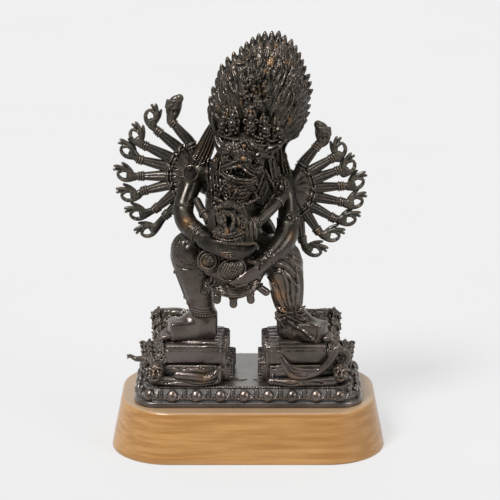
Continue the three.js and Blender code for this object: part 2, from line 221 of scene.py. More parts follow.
def beads(centre, axis, radius, count, size):
    # beads round a limb
    axis = unit(axis)
    side = unit(np.cross(axis, (0.13, 0.31, 1) if abs(axis[2]) < 0.9 else (0, 1, 0.1)))
    other = np.cross(axis, side)
    for k in range(count):
        turn = 2 * math.pi * k / count
        ball(centre + radius * (math.cos(turn) * side + math.sin(turn) * other), size, 0.4)


def slab(centre, half, edge=1.0, blend=1.0, cut=False, axes=None):
    # a block with rounded edges
    axes = np.eye(3) if axes is None else axes
    centre, half = np.array(centre, float), np.array(half, float)
    reach = np.sqrt(((axes * half[:, None]) ** 2).sum(0)) + max(blend, 1.5) + 1
    where, x, y, z = nearby(centre, reach)
    outside, deepest = 0, -farWax
    for way, h in zip(axes, half):
        q = np.abs(x * way[0] + y * way[1] + z * way[2]) - (h - edge)
        outside = outside + np.maximum(q, 0) ** 2
        deepest = np.maximum(deepest, q)
    press(where, np.sqrt(outside) + np.minimum(deepest, 0) - edge, blend, cut)


def engrave(centre, radii, depth, pattern, soft=4):
    # lines worked into the surface, fading out towards the edge of the place
    centre, radii = np.array(centre, float), np.array(radii, float)
    first, last, where = window(centre - radii, centre + radii)
    x, y, z = cells(first, last)
    off = 0
    for c, middle, radius in zip((x, y, z), centre, radii):
        off = off + ((c - middle) / radius) ** 2
    wax["body"][where] += depth * np.clip((1 - np.sqrt(off)) * soft, 0, 1) * pattern(x, y, z)


def fullField(low, high, field, blend, cut=False):
    # a shape given as a function of x, y and z, between two corners
    first, last, where = window(np.array(low, float), np.array(high, float))
    press(where, field(*cells(first, last)).astype(np.float32), blend, cut)


def seenFrom(u, v):
    # the eye, and the way it looks through a point of the picture
    lean = math.radians(shot["elevation"])
    ahead = np.array((0, math.cos(lean), -math.sin(lean)))
    above = np.array((0, math.sin(lean), math.cos(lean)))
    reach = shot["picture"] * shot["lens"] / shot["sensor"]
    across, down = u - shot["picture"] / 2, v - shot["picture"] / 2
    eye = np.array(shot["target"], float) - shot["distance"] * ahead
    return eye, ahead + across / reach * np.array((1, 0, 0)) - down / reach * above


def seenAt(u, v, lift=0.0):
    # where the wax is first met behind a point of the picture, brought forward by the lift
    eye, way = seenFrom(u, v)
    far = np.arange(*shot["sight"])
    places = ((eye + far[:, None] * way - wax["low"]) / wax["voxel"]).round().astype(int)
    inside = ((places >= 0) & (places < wax["body"].shape)).all(axis=1)
    far, places = far[inside], places[inside]
    met = np.nonzero(wax["body"][tuple(places.T)] < 0)[0]
    return eye + (far[met[0]] - lift) * way if len(met) else None


def levelOff(height):
    # cuts the wax flat, with nothing left below the height
    low = wax["low"]
    high = low + wax["voxel"] * np.array(wax["body"].shape)
    fullField(low, (*high[:2], height), lambda x, y, z: z - height + 0 * x + 0 * y, 0.2, True)


widestStep = 7.0  # mm; where the surface falls away by more, a laid strand breaks off


def laid(path, lift=0.0, blend=0.4, cut=False, steps=4):
    # a strand that follows the surface through points of the picture, u, v and radius
    runs = [[]]
    for u, v, r in smoothRun(path, steps):
        spot = seenAt(u, v, lift)
        if spot is None:
            continue
        if runs[-1] and abs(spot[1] - runs[-1][-1][1]) > widestStep:
            runs.append([])
        runs[-1].append((*spot, r))
    for run in runs:
        if len(run) > 1:
            strand(run, blend, cut, steps=1)


def touch(u, v, radius, lift=0.0, cut=False, blend=0.4):
    # a bead or a prick where a point of the picture meets the wax
    spot = seenAt(u, v, lift)
    if spot is not None:
        ball(spot, radius, blend, cut)


def bored(u, v, radius):
    # cut clean through, along the line of sight
    eye, way = seenFrom(u, v)
    ends = [(*(eye + (y - eye[1]) / way[1] * way), radius) for y in (-75, 45)]
    strand(ends, 0.3, True, steps=1)


towardsKey = (-0.21, -0.79, 0.57)  # halfway between the eye and the main light


def plate(u, v, wide, tall, slant=0, lift=0.6, thick=1.5):
    # a small smooth face turned to the main light, its right end raised by the slant in degrees
    spot = seenAt(u, v, lift)
    right, ahead, above = axesFor(towardsKey)
    turn = math.radians(slant)
    long = math.cos(turn) * right - math.sin(turn) * above
    high = math.sin(turn) * right + math.cos(turn) * above
    lump(spot, (wide, thick, tall), 0.3, axes=np.array([long, ahead, high]))


def girdle(centre, reach, count, size):
    # beads laid on the body all round, at one height
    for k in range(count):
        turn = k * 2 * math.pi / count
        for far in np.arange(reach, 4, -0.4):
            spot = np.array(centre) + far * np.array((math.cos(turn), math.sin(turn), 0))
            cell = tuple(((spot - wax["low"]) / wax["voxel"]).round().astype(int))
            if wax["body"][cell] < 0:
                ball(spot, size, 0.4)
                break


def crust(centre, radii, depth=0.45, grain=2.4, seed=0):
    # rough casting skin and tiny ornament over a place
    turn = 2 * math.pi / grain

    def pattern(x, y, z):
        a = np.sin(turn * (x + 0.31 * z) + 2.1 * np.sin(0.41 * turn * z + seed))
        b = np.sin(turn * (z - 0.27 * y) + 1.9 * np.sin(0.37 * turn * x + 2 * seed))
        c = np.sin(turn * 0.8 * (y + 0.5 * x) + 1.3 * seed)
        return a * b + 0.5 * b * c

    engrave(centre, radii, depth, pattern, 5)


def boxBlur(a, n):
    # mean over n cells each way, along each axis in turn
    for axis in range(3):
        pad = [(n + 1, n) if k == axis else (0, 0) for k in range(3)]
        total = np.cumsum(np.pad(a, pad, mode="edge"), axis=axis, dtype=np.float32)
        high = [slice(2 * n + 1, None) if k == axis else slice(None) for k in range(3)]
        low = [slice(None, -(2 * n + 1)) if k == axis else slice(None) for k in range(3)]
        a = (total[tuple(high)] - total[tuple(low)]) / (2 * n + 1)
    return a


def sampled(block, spots):
    # what the block says at places between its cells
    spots = np.clip(spots, 0, np.array(block.shape) - 1.001)
    i = spots.astype(int)
    f = (spots - i).astype(np.float32)
    found = 0
    for corner in range(8):
        step = np.array([corner & 1, corner >> 1 & 1, corner >> 2 & 1])
        weight = np.where(step, f, 1 - f).prod(axis=1)
        found = found + weight * block[tuple((i + step).T)]
    return found


def spotted(places, spots):
    # how strongly a set of soft round spots, x, y, z, radius and strength, colours each place
    level = np.zeros(len(places), np.float32)
    for x, y, z, radius, strength in spots:
        off = np.linalg.norm(places - np.array([x, y, z]), axis=1) / radius
        if strength < 0:  # wiped clean again
            level = level * (1 + strength * np.clip(1.6 * (1 - off), 0, 1))
        else:
            level = np.maximum(level, strength * np.clip(1.3 * (1 - off), 0, 1))
    return level


def largestBody(points, tris, quads):
    # leaves out crumbs that hang free of the main casting and closed bubbles inside it
    edges = [quads[:, :2], quads[:, 1:3], quads[:, 2:], tris[:, :2], tris[:, 1:]]
    edges = np.concatenate(edges).astype(int)
    body = np.arange(len(points))
    while True:
        first, second = body[edges[:, 0]], body[edges[:, 1]]
        apart = first != second
        if not apart.any():
            break
        low = np.minimum(first, second)[apart]
        np.minimum.at(body, first[apart], low)
        np.minimum.at(body, second[apart], low)
        while (body[body] != body).any():
            body = body[body]
    inside = body == np.bincount(body).argmax()
    number = np.cumsum(inside) - 1
    return points[inside], number[tris[inside[tris[:, 0]]]], number[quads[inside[quads[:, 0]]]]


def cast(name, mostFaces, warm=(), dusty=()):
    # the wax becomes a mesh, which keeps how hollow, worn and dusty each place is
    grid = openvdb.FloatGrid(farWax)
    grid.copyFromArray(wax["body"])
    whole = grid.convertToPolygons(isovalue=0.0, adaptivity=0.0)
    points, tris, quads = largestBody(*whole)
    crumbs = len(whole[2]) - len(quads)
    mesh = bpy.data.meshes.new(name)
    mesh.vertices.add(len(points))
    inMetres = (points * wax["voxel"] + wax["low"]) * mm
    mesh.vertices.foreach_set("co", inMetres.astype(np.float32).ravel())
    mesh.loops.add(4 * len(quads) + 3 * len(tris))
    corners = np.concatenate([quads.ravel(), tris.ravel()]).astype(np.int32)
    mesh.loops.foreach_set("vertex_index", corners)
    mesh.polygons.add(len(quads) + len(tris))
    starts = np.concatenate([np.arange(len(quads)) * 4, 4 * len(quads) + np.arange(len(tris)) * 3])
    mesh.polygons.foreach_set("loop_start", starts.astype(np.int32))
    mesh.update(calc_edges=True)
    mesh.validate()
    piece = newObject(name, mesh)
    faces = 2 * len(quads) + len(tris)
    if faces > mostFaces:
        thin = piece.modifiers.new("thin", "DECIMATE")
        thin.ratio = mostFaces / faces
        thin.use_collapse_triangulate = True
        held = bpy.context.evaluated_depsgraph_get()
        piece.data = bpy.data.meshes.new_from_object(piece.evaluated_get(held), depsgraph=held)
        piece.modifiers.clear()
        piece.data.name = name
    mesh = piece.data
    mesh.polygons.foreach_set("use_smooth", np.ones(len(mesh.polygons), bool))
    places = np.empty(len(mesh.vertices) * 3, np.float32)
    mesh.vertices.foreach_get("co", places)
    places = places.reshape(-1, 3) / mm
    inWax = (places - wax["low"]) / wax["voxel"]
    solid = np.clip(0.5 - wax["body"] / (2 * wax["voxel"]), 0, 1)
    for title, wide in (("hollowFine", 1), ("hollowWide", 4)):
        soft = boxBlur(boxBlur(solid, wide), wide)
        mesh.attributes.new(title, "FLOAT", "POINT").data.foreach_set("value", sampled(soft, inWax))
    for title, spots in (("warm", warm), ("dusty", dusty)):
        level = spotted(places, spots)
        mesh.attributes.new(title, "FLOAT", "POINT").data.foreach_set("value", level)
    report(f"{name}: {faces} faces cast, {len(mesh.polygons)} kept, {crumbs} in crumbs left out")
    return piece


def smallFace(at, size, front=(0, -1, 0), up=(0, 0, 1), blend=0.5):
    # a small fierce face; size is half its height
    axes = axesFor(front, up)
    p = placer(at, axes, size)
    lump(p(0, 0, 0.15), np.array((0.78, 0.8, 0.85)) * size, 0.8, axes=axes)
    lump(p(0, 0.35, -0.55), np.array((0.45, 0.5, 0.42)) * size, 0.8, axes=axes)
    for side in (-1, 1):
        lump(p(side * 0.36, 0.72, 0.02), np.array((0.27, 0.3, 0.22)) * size, 0.3, True, axes)
        strand([(*p(side * 0.1, 0.82, 0.22), 0.12 * size), (*p(side * 0.42, 0.78, 0.38), 0.16 * size),
                (*p(side * 0.72, 0.5, 0.22), 0.1 * size)], blend)
        lump(p(side * 0.44, 0.62, -0.32), np.array((0.22, 0.25, 0.2)) * size, blend, axes=axes)
        ball(p(side * 0.36, 0.68, 0.02), 0.17 * size, 0.2)
    strand([(*p(0, 0.78, 0.15), 0.1 * size), (*p(0, 0.98, -0.22), 0.17 * size)], blend)
    lump(p(0, 0.86, -0.55), np.array((0.3, 0.25, 0.1)) * size, 0.3, True, axes)


# Materials

bronzeTones = {
    "black": (0.005, 0.004, 0.003),  # painted shade at the bottom of every fold, and the dark specks in the detail
    "deep": (0.022, 0.017, 0.013),   # the oldest patina
    "brown": (0.056, 0.044, 0.034),  # the common dark brown
    "umber": (0.019, 0.015, 0.012),  # nearly black, where it is smooth and polished
    "floorBouncePlum": (0.120, 0.094, 0.088),   # painted light bounced up from the pale floor: the paler, purplish brown low down
    "dust": (0.118, 0.100, 0.066),   # olive grey in the detail
    "wornHighlight": (0.260, 0.205, 0.165),   # edges rubbed towards bare metal, with a painted highlight on them
    "warm": (0.230, 0.130, 0.062),   # brown where the patina is thin, mixed into the worn, painted-highlight edges
    "glint": (0.420, 0.200, 0.055),  # orange-gold where hands have touched
}
floorBounceBelow = (0.228, 0.180)  # height in metres over which painted light bounced up from the floor turns the bronze paler, from and to
bronzeNoises = {  # scale, detail, roughness
    "broad": (26, 3), "patch": (130, 4), "speck": (420, 3, 0.6), "fine": (900, 3, 0.65),
}


def newMaterial(name):
    material = bpy.data.materials.new(name)
    material.use_nodes = True
    tree = material.node_tree
    place = tree.nodes.new("ShaderNodeTexCoord").outputs["Object"]
    return material, tree, tree.nodes["Principled BSDF"], place


def feed(tree, socket, value):
    # a socket gets a link, a colour or a number
    if isinstance(value, bpy.types.NodeSocket):
        tree.links.new(value, socket)
    elif isinstance(value, tuple):
        socket.default_value = (*value, 1)
    else:
        socket.default_value = value


def mixColour(tree, factor, a, b):
    mix = tree.nodes.new("ShaderNodeMix")
    mix.data_type = "RGBA"
    for number, value in ((0, factor), (6, a), (7, b)):  # the colour mix's own sockets
        feed(tree, mix.inputs[number], value)
    return mix.outputs[2]


def mathOf(tree, kind, a, b=0.0, clamp=False):
    node = tree.nodes.new("ShaderNodeMath")
    node.operation = kind
    node.use_clamp = clamp
    for socket, value in zip(node.inputs, (a, b)):
        feed(tree, socket, value)
    return node.outputs[0]


def times(tree, a, b, clamp=False):
    return mathOf(tree, "MULTIPLY", a, b, clamp)


def plus(tree, a, b, clamp=False):
    return mathOf(tree, "ADD", a, b, clamp)


def most(tree, a, b):
    return mathOf(tree, "MAXIMUM", a, b)


def ranged(tree, value, low, high, out=(0.0, 1.0)):
    # a smooth step from low to high
    node = tree.nodes.new("ShaderNodeMapRange")
    node.interpolation_type = "SMOOTHSTEP"
    titles = ("Value", "From Min", "From Max", "To Min", "To Max")
    for title, put in zip(titles, (value, low, high, *out)):
        feed(tree, node.inputs[title], put)
    return node.outputs["Result"]


def noiseOf(tree, place, scale, detail=4.0, rough=0.55, stretch=None):
    if stretch:
        mapping = tree.nodes.new("ShaderNodeMapping")
        mapping.inputs["Scale"].default_value = stretch
        tree.links.new(place, mapping.inputs["Vector"])
        place = mapping.outputs["Vector"]
    noise = tree.nodes.new("ShaderNodeTexNoise")
    for title, value in (("Scale", scale), ("Detail", detail), ("Roughness", rough), ("Vector", place)):
        feed(tree, noise.inputs[title], value)
    return noise.outputs["Fac"]


def kept(tree, title):
    # one of the attributes that the cast mesh keeps
    node = tree.nodes.new("ShaderNodeAttribute")
    node.attribute_name = title
    return node.outputs["Fac"]


def bumped(tree, shader, relief, strength, distance):
    bump = tree.nodes.new("ShaderNodeBump")
    bump.inputs["Strength"].default_value = strength
    bump.inputs["Distance"].default_value = distance
    tree.links.new(relief, bump.inputs["Height"])
    tree.links.new(bump.outputs["Normal"], shader.inputs["Normal"])


def bronze(name, polish, dustAmount, wearAndHighlightAmount, grain=0.2, coat=0.45, upper="brown", haze=0.16):
    # polish is the roughness of clean metal, dust sits in the detail, painted shade in the hollows, and wear
    # with a painted highlight on the edges; upper is the smooth tone high up, paler below with painted light
    # from the floor; coat and haze are the wax finish
    material, tree, shader, place = newMaterial(name)
    tones = bronzeTones
    height = tree.nodes.new("ShaderNodeSeparateXYZ")
    tree.links.new(place, height.inputs[0])
    low = ranged(tree, height.outputs[2], *floorBounceBelow)  # painted bounce light from the floor: the lower half is browner and paler
    broad, patch, speck, fine = (noiseOf(tree, place, *spec) for spec in bronzeNoises.values())
    hollowFine, hollowWide = kept(tree, "hollowFine"), kept(tree, "hollowWide")
    warm, dusty = kept(tree, "warm"), kept(tree, "dusty")
    ornate = ranged(tree, dusty, 0.25, 0.6)  # where the casting is full of small detail

    brown = mixColour(tree, low, tones[upper], tones["floorBouncePlum"])
    deep = mixColour(tree, low, tones["deep"], tones["brown"])
    base = mixColour(tree, ranged(tree, broad, 0.36, 0.66), deep, brown)
    detail = times(tree, ranged(tree, hollowWide, 0.4, 0.56), ranged(tree, patch, 0.3, 0.6, (0.2, 1.0)))
    settled = times(tree, detail, dustAmount * 0.6)
    film = times(tree, dusty, ranged(tree, patch, 0.36, 0.66, (0.1, 0.9)))
    dust = most(tree, settled, film)
    base = mixColour(tree, dust, base, tones["dust"])

    # raised edges lighter: partly wear rubbed towards bare metal, partly a painted highlight
    edge = ranged(tree, hollowFine, 0.47, 0.34)
    wearAndHighlight = times(tree, edge, ranged(tree, fine, 0.34, 0.6, (0.25, 1.0)))
    wearAndHighlight = times(tree, wearAndHighlight, wearAndHighlightAmount, True)
    tone = mixColour(tree, ranged(tree, patch, 0.56, 0.64), tones["wornHighlight"], tones["warm"])
    base = mixColour(tree, wearAndHighlight, base, tone)
    touched = times(tree, warm, ranged(tree, fine, 0.3, 0.6, (0.45, 1.0)), True)
    base = mixColour(tree, touched, base, tones["glint"])
    # painted shade: folds and hollows darken to black; dark specks are pricked into the detail as well
    shadeAndSpecks = most(tree, ranged(tree, hollowFine, 0.52, 0.59), ranged(tree, hollowWide, 0.54, 0.66))
    pricks = times(tree, ranged(tree, speck, 0.48, 0.38), ornate)
    shadeAndSpecks = most(tree, shadeAndSpecks, times(tree, pricks, 0.85))
    base = mixColour(tree, shadeAndSpecks, base, tones["black"])
    tree.links.new(base, shader.inputs["Base Color"])

    rough = ranged(tree, patch, 0.3, 0.7, (polish - 0.06, polish + 0.07))
    rough = plus(tree, rough, times(tree, dust, 0.2))
    rough = plus(tree, rough, times(tree, shadeAndSpecks, 0.35), True)
    rough = plus(tree, rough, times(tree, ornate, 0.3), True)
    tree.links.new(rough, shader.inputs["Roughness"])
    metal = mathOf(tree, "SUBTRACT", 0.75, times(tree, dust, 0.5), True)
    tree.links.new(metal, shader.inputs["Metallic"])
    shader.inputs["Coat Weight"].default_value = coat
    shader.inputs["Coat Roughness"].default_value = haze

    skin = times(tree, speck, plus(tree, 0.2, times(tree, ornate, 2.4)))
    relief = plus(tree, times(tree, fine, 0.5), skin)
    relief = plus(tree, relief, times(tree, patch, 1.5))
    bumped(tree, shader, relief, grain * 1.6, 0.0008)
    return material


woodLooks = {
    "pale": (0.450, 0.240, 0.076),
    "honey": (0.290, 0.130, 0.030),
    "dark": (0.160, 0.062, 0.015),
    "top": (0.340, 0.245, 0.160),    # the greyer, tan upper face
}


def plinthWood():
    looks = woodLooks
    material, tree, shader, place = newMaterial("honeyWood")
    streak = noiseOf(tree, place, 45, 6, 0.65, (0.25, 1.0, 5.0))
    grain = noiseOf(tree, place, 120, 6, 0.7, (0.12, 1.0, 6.0))
    cloud = noiseOf(tree, place, 14, 2, 0.5)
    base = mixColour(tree, ranged(tree, streak, 0.34, 0.66, (0.1, 0.9)), looks["honey"], looks["pale"])
    base = mixColour(tree, ranged(tree, cloud, 0.5, 0.75, (0.0, 0.35)), base, looks["honey"])
    base = mixColour(tree, ranged(tree, grain, 0.6, 0.78, (0.0, 0.45)), base, looks["dark"])
    facing = tree.nodes.new("ShaderNodeSeparateXYZ")
    tree.links.new(tree.nodes.new("ShaderNodeNewGeometry").outputs["Normal"], facing.inputs[0])
    base = mixColour(tree, ranged(tree, facing.outputs[2], 0.55, 0.9, (0.0, 0.75)), base, looks["top"])
    tree.links.new(base, shader.inputs["Base Color"])
    tree.links.new(ranged(tree, grain, 0.3, 0.8, (0.3, 0.46)), shader.inputs["Roughness"])
    shader.inputs["Coat Weight"].default_value = 0.35
    shader.inputs["Coat Roughness"].default_value = 0.2
    bumped(tree, shader, grain, 0.12, 0.0004)
    return material


def setPiece(piece, node, material):
    piece.data.materials.clear()
    piece.data.materials.append(material)
    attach(piece, "root")
    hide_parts(node)


# The wooden plinth

plinth = {
    "height": 51, "foot": (138, 82), "top": (127.5, 71.5), "footCorner": 60, "topCorner": 54,
    "footEdge": 1.2, "edge": 2.5, "around": 192, "rows": 14,
}


def roundedPlan(half, corner, share):
    # a point on a rounded rectangle by its share of the way round, with its outward normal
    straights = [2 * (half[0] - corner), 2 * (half[1] - corner)] * 2
    arc = math.pi / 2 * corner
    left = share % 1 * (sum(straights) + 4 * arc)
    starts = [(-straights[0] / 2, -half[1]), (half[0], -straights[1] / 2), (straights[0] / 2, half[1]),
              (-half[0], straights[1] / 2)]
    for side in range(4):
        heading = side * math.pi / 2
        run = np.array([math.cos(heading), math.sin(heading)])
        if left <= straights[side]:
            return np.array(starts[side]) + run * left, np.array([run[1], -run[0]])
        left -= straights[side]
        if left <= arc:
            turn = heading - math.pi / 2 + left / corner
            out = np.array([math.cos(turn), math.sin(turn)])
            pivot = np.array(starts[side]) + run * straights[side] + corner * np.array([-run[1], run[0]])
            return pivot + corner * out, out
        left -= arc
    return roundedPlan(half, corner, 0)


def ringMesh(name, rings):
    # a closed skin over a stack of rings of as many points each, flat at both ends
    count = len(rings[0])
    points = [p for r in rings for p in r]
    faces = []
    for row in range(len(rings) - 1):
        for k in range(count):
            a, b = row * count + k, row * count + (k + 1) % count
            faces.append((a, b, b + count, a + count))
    faces.append(tuple(reversed(range(count))))
    faces.append(tuple(range((len(rings) - 1) * count, len(rings) * count)))
    mesh = bpy.data.meshes.new(name)
    mesh.from_pydata([tuple(c * mm for c in p) for p in points], [], faces)
    mesh.update()
    return newObject(name, mesh)


def makePlinth():
    s = plinth
    low = s["footEdge"]
    levels = [(0.0, low), (0.4, 0.5), (low, 0.0)]  # height, and how far in from the flare
    for k in range(1, s["rows"] + 1):
        levels.append((low + (s["height"] - s["edge"] - low) * k / s["rows"], 0.0))
    for k in range(1, 7):
        turn = k * math.pi / 12
        levels.append((s["height"] - s["edge"] * (1 - math.sin(turn)), s["edge"] * (1 - math.cos(turn))))
    levels += [(s["height"], s["edge"] + 3), (s["height"], s["edge"] + 20)]
    rings = []
    for z, inset in levels:
        t = z / s["height"]
        half = [a + (b - a) * t - inset for a, b in zip(s["foot"], s["top"])]
        corner = s["footCorner"] + (s["topCorner"] - s["footCorner"]) * t - inset
        row = [roundedPlan(half, corner, k / s["around"])[0] for k in range(s["around"])]
        rings.append([(x, y, z) for x, y in row])
    piece = ringMesh("turned_plinth", rings)
    for polygon in piece.data.polygons:
        polygon.use_smooth = True
    return piece


# The lotus base

lotus = {
    "floor": 51.3, "height": 20, "foot": (114.5, 58), "top": (103, 50), "corner": 25,
    "low": (-118, -62, 49.3), "high": (118, 62, 74.3), "petalsWide": 9, "petalsDeep": 4,
    "boss": (5.2, 3.4, 6.0), "bandMiddle": 12.2, "bandLean": 0.5, "beadPitch": 2.6, "bead": 1.25,
    "frontBeads": 82, "voxel": 0.65, "mostFaces": 110000,
}


def makeLotusBase():
    s = lotus
    floor, plate = s["floor"], s["floor"] + s["height"]
    newWax(s["low"], s["high"], s["voxel"])

    profile = [  # share of the height, share of the way in from foot to top
        (0.0, 0.06), (0.03, 0.0), (0.2, 0.0), (0.27, 0.1), (0.3, 0.35), (0.36, 0.34),
        (0.45, 0.3), (0.6, 0.42), (0.78, 0.78), (0.86, 0.95), (0.88, 1.0), (1.0, 1.0),
    ]
    heights, ins = (np.array(column) for column in zip(*profile))

    def body(x, y, z):
        inward = np.interp((z - floor) / s["height"], heights, ins)
        halfX = s["foot"][0] + (s["top"][0] - s["foot"][0]) * inward
        halfY = s["foot"][1] + (s["top"][1] - s["foot"][1]) * inward
        corner = s["corner"] - 6 * inward
        qx, qy = np.abs(x) - halfX + corner, np.abs(y) - halfY + corner
        side = np.sqrt(np.maximum(qx, 0) ** 2 + np.maximum(qy, 0) ** 2)
        side = side + np.minimum(np.maximum(qx, qy), 0) - corner
        return np.maximum(side, np.maximum(floor - z, z - plate))

    fullField(s["low"], s["high"], body, 0.1)

    petals = 2 * (s["petalsWide"] + s["petalsDeep"])
    middle = [a + (b - a) * 0.42 for a, b in zip(s["foot"], s["top"])]
    pitch = 1 / petals
    firstShare = pitch / 2
    perMm = 1 / 660  # share of the way round for each millimetre

    def onSlope(share, up, out):
        # a place on the petal band: up along the slope from its middle, out from it
        (x, y), (nx, ny) = roundedPlan(middle, s["corner"] - 2.5, share)
        lean = s["bandLean"]
        flat, high = up * -lean * 0.62 + out * 0.86, up * 0.86 + out * lean * 0.62
        return np.array([x + nx * flat, y + ny * flat, floor + s["bandMiddle"] + high])

    for k in range(petals):
        share = firstShare + k * pitch
        (_, _), (nx, ny) = roundedPlan(middle, s["corner"] - 2.5, share)
        axes = axesFor((nx, ny, 0.45), (-nx * 0.45, -ny * 0.45, 1))
        lump(onSlope(share, -0.2, 0.6), s["boss"], 0.5, axes=axes)
        for reach, thick in ((7.0, 0.75), (9.6, 0.6)):  # two outlines round the boss, open at the top
            outline = []
            for step in range(9):
                turn = math.pi * (1.06 - 1.12 * step / 8)
                across, up = reach * math.cos(turn), -abs(math.sin(turn)) * (reach * 0.72) + 1.5
                outline.append((*onSlope(share + across * perMm, up, 0.4), thick))
            strand(outline, steps=2)
        between = share + pitch / 2
        strand(runAt(onSlope, [(between, 5.2, 0.2, 2.2), (between, 0.5, 0.2, 2.0),
                               (between, -3.6, 0.2, 0.8)]), 0.5)
        strand(runAt(onSlope, [(between, 5, 2.2, 0.6), (between, -1.5, 2.2, 0.6)]), 0.3, True)

    rim = [a - 0.8 for a in s["top"]]
    around = 4 * (rim[0] + rim[1] - 2 * (s["corner"] - 6)) + 2 * math.pi * (s["corner"] - 6)
    count = int(around / s["beadPitch"])
    for k in range(count):  # the beaded edge under the plate
        (x, y), _ = roundedPlan(rim, s["corner"] - 6.8, k / count)
        ball((x, y, plate - 1.4), s["bead"])

    for side in (-1, 1):  # a small scrolled tassel at each side of the open plate
        x, y = 1.8 + side * 4.5, -30.0
        strand([(x, y, plate, 1.5), (x + side * 6, y - 1.5, plate, 1.9), (x + side * 13, y, plate, 0.8)],
               thin=(0, 0, 1), ratio=0.6)
        for turn in (-1, 1):
            strand([(x + side * 5, y, plate, 1.1), (x + side * 9, y + turn * 3, plate, 0.7)])
    for k in range(s["frontBeads"]):  # fine beading along the front edge
        touch(132 + 2.85 * k, 387.5, 0.8, 0.1)
    warm = []
    for k in range(petals):
        spot = onSlope(firstShare + k * pitch, 0.5, 3.5)
        warm.append((*spot, 4.0, (0.28, 0.16, 0.1)[k % 3]))
    return cast("lotus_seat", s["mostFaces"], warm, [(0, 0, floor + 12, 140, 0.25)])


# The heaps of trampled beings

heaps = {
    "floor": 71.6, "tier": 20.5, "bodies": 6, "front": -45, "backInner": 16, "backOuter": 41,
    "rearRise": 17,
    "mirror": 492,  # in the picture, u of a place and u of its mirror image add up to this
    "voxel": 0.65, "mostFaces": 115000,
    "right": {"side": -1, "inner": 22, "outer": 86, "lowerReach": 10, "folds": (167, 192), "seed": 11},
    "left": {"side": 1, "inner": 17, "outer": 82, "lowerReach": 12, "folds": (300, 331), "seed": 23},
}


def heapBeings(spec):
    s = heaps
    side = spec["side"]
    rng = random.Random(spec["seed"])
    step = 1 / s["bodies"]
    wide = 0.5 * (s["backInner"] - s["front"]) * step
    tall = s["tier"] * 0.5
    for tier in (0, 1):
        middle = s["floor"] + s["tier"] * (tier + 0.5)
        for k in range(s["bodies"]):
            t = (k + 0.5) * step
            rise = s["rearRise"] * max(t - 0.5, 0) / 0.5 * tier  # the backs mount towards the rear
            inner = spec["inner"] + 3 - 3.5 * t + ((5 if k == 0 else -5.5) if tier == 0 else 0)
            outer = spec["outer"] + 8 * t + (0 if tier else spec["lowerReach"])

            def at(share, up=0.0, toward=0.0):
                back = s["backInner"] + (s["backOuter"] - s["backInner"]) * share
                y = s["front"] + (back - s["front"]) * t
                mount = rise * min(max((share - 0.2) / 0.25, 0), 1)
                return np.array([side * (inner + (outer - inner) * share), y + toward, middle + up + mount])

            # the lying body, its lower half filling up what lies under it
            axes = turned(math.atan2((s["backOuter"] - s["backInner"]) * t, outer - inner) * side)
            start, stop = 0.34 if rise else 0.05, 0.93
            centre, half = 0.5 * (start + stop), 0.5 * (stop - start) * (outer - inner)
            waist = 0.15 * (outer - inner)
            blocks = (  # share of the length, up, half sizes, rounding, blend
                (centre, 0.0, (half, wide, tall - 0.3), 3.6, 0.5),
                (centre, -rise / 2 - 2, (half, wide + 0.8, tall + rise / 2 - 3), 2, 0.3),
                (0.18, 0.0, (waist, wide, tall - 0.3), 2.4, 0.5),
                (0.18, -2, (waist, wide + 0.8, tall - 3), 2, 0.3),
            )
            for share, up, sizes, edge, blend in blocks:
                slab(at(share, up), sizes, edge, blend, axes=axes)
            spine = [(0.14, tall - 3.4, 2.4), (0.45, tall - 3.0, 3.0), (0.82, tall - 3.2, 3.0)]
            strand(runAt(at, spine), 0.6)
            slab(at(0.05, -2), (5.5, wide - 0.6, tall - 2.6), 1.0, 0.4, axes=axes)
            for rib in (-0.5 * wide, 0.5 * wide):  # thin ribs at the inner end
                strand(runAt(at, [(0.12, tall - 2.4, rib, 1.5), (-0.02, tall - 2.8, rib, 1.4)]), 0.3)
                strand(runAt(at, [(-0.03, tall - 3, rib, 1.3), (-0.03, 3 - tall, rib, 1.2)]), 0.3)
            if k == s["bodies"] - 1:  # limbs and rolled cloth along the back
                for n, up in enumerate(np.arange(tall - 4.5, -tall - rise + 4, -6.2)):
                    wave = 1.2 * math.sin(2.1 * n + side)
                    inset = 0.36 if up > tall - rise and rise else 0.1
                    limb = [(inset, up, wide - 1, 3.0), (0.52, up + wave, wide + 0.4, 3.7),
                            (0.72, up - wave, wide, 3.4), (0.93, up, wide - 1, 2.8)]
                    strand(runAt(at, limb))
            size = 7.4 + 0.9 * rng.random()
            front = (side * 0.75, -0.8, 0.25)
            head = at(0.99, 1.2 - 1.5 * rng.random(), -0.5)
            smallFace(head, size, front, (side * 0.2 * rng.random(), 0, 1), blend=0.35)
            for curl in range(6):  # rough hair over the crown
                angle = math.pi * (0.02 + 0.19 * curl)
                across, up = size * 0.72 * math.cos(angle), size * 0.85 * math.sin(angle)
                spot = head + np.array([side * -0.5, across, up + 1])
                ring(spot, (side * 0.8, -0.6, 0.3), 1.7 + 0.3 * rng.random(), 0.85)
            if tier == 0:
                knot = at(1.06, 4.5 + rng.random() * 2)
                lump(knot, (3.2, 3.0, 3.4), 0.6)
                ball(knot + (side * 2.2, -1.6, 1.8), 1.8, 0.4)


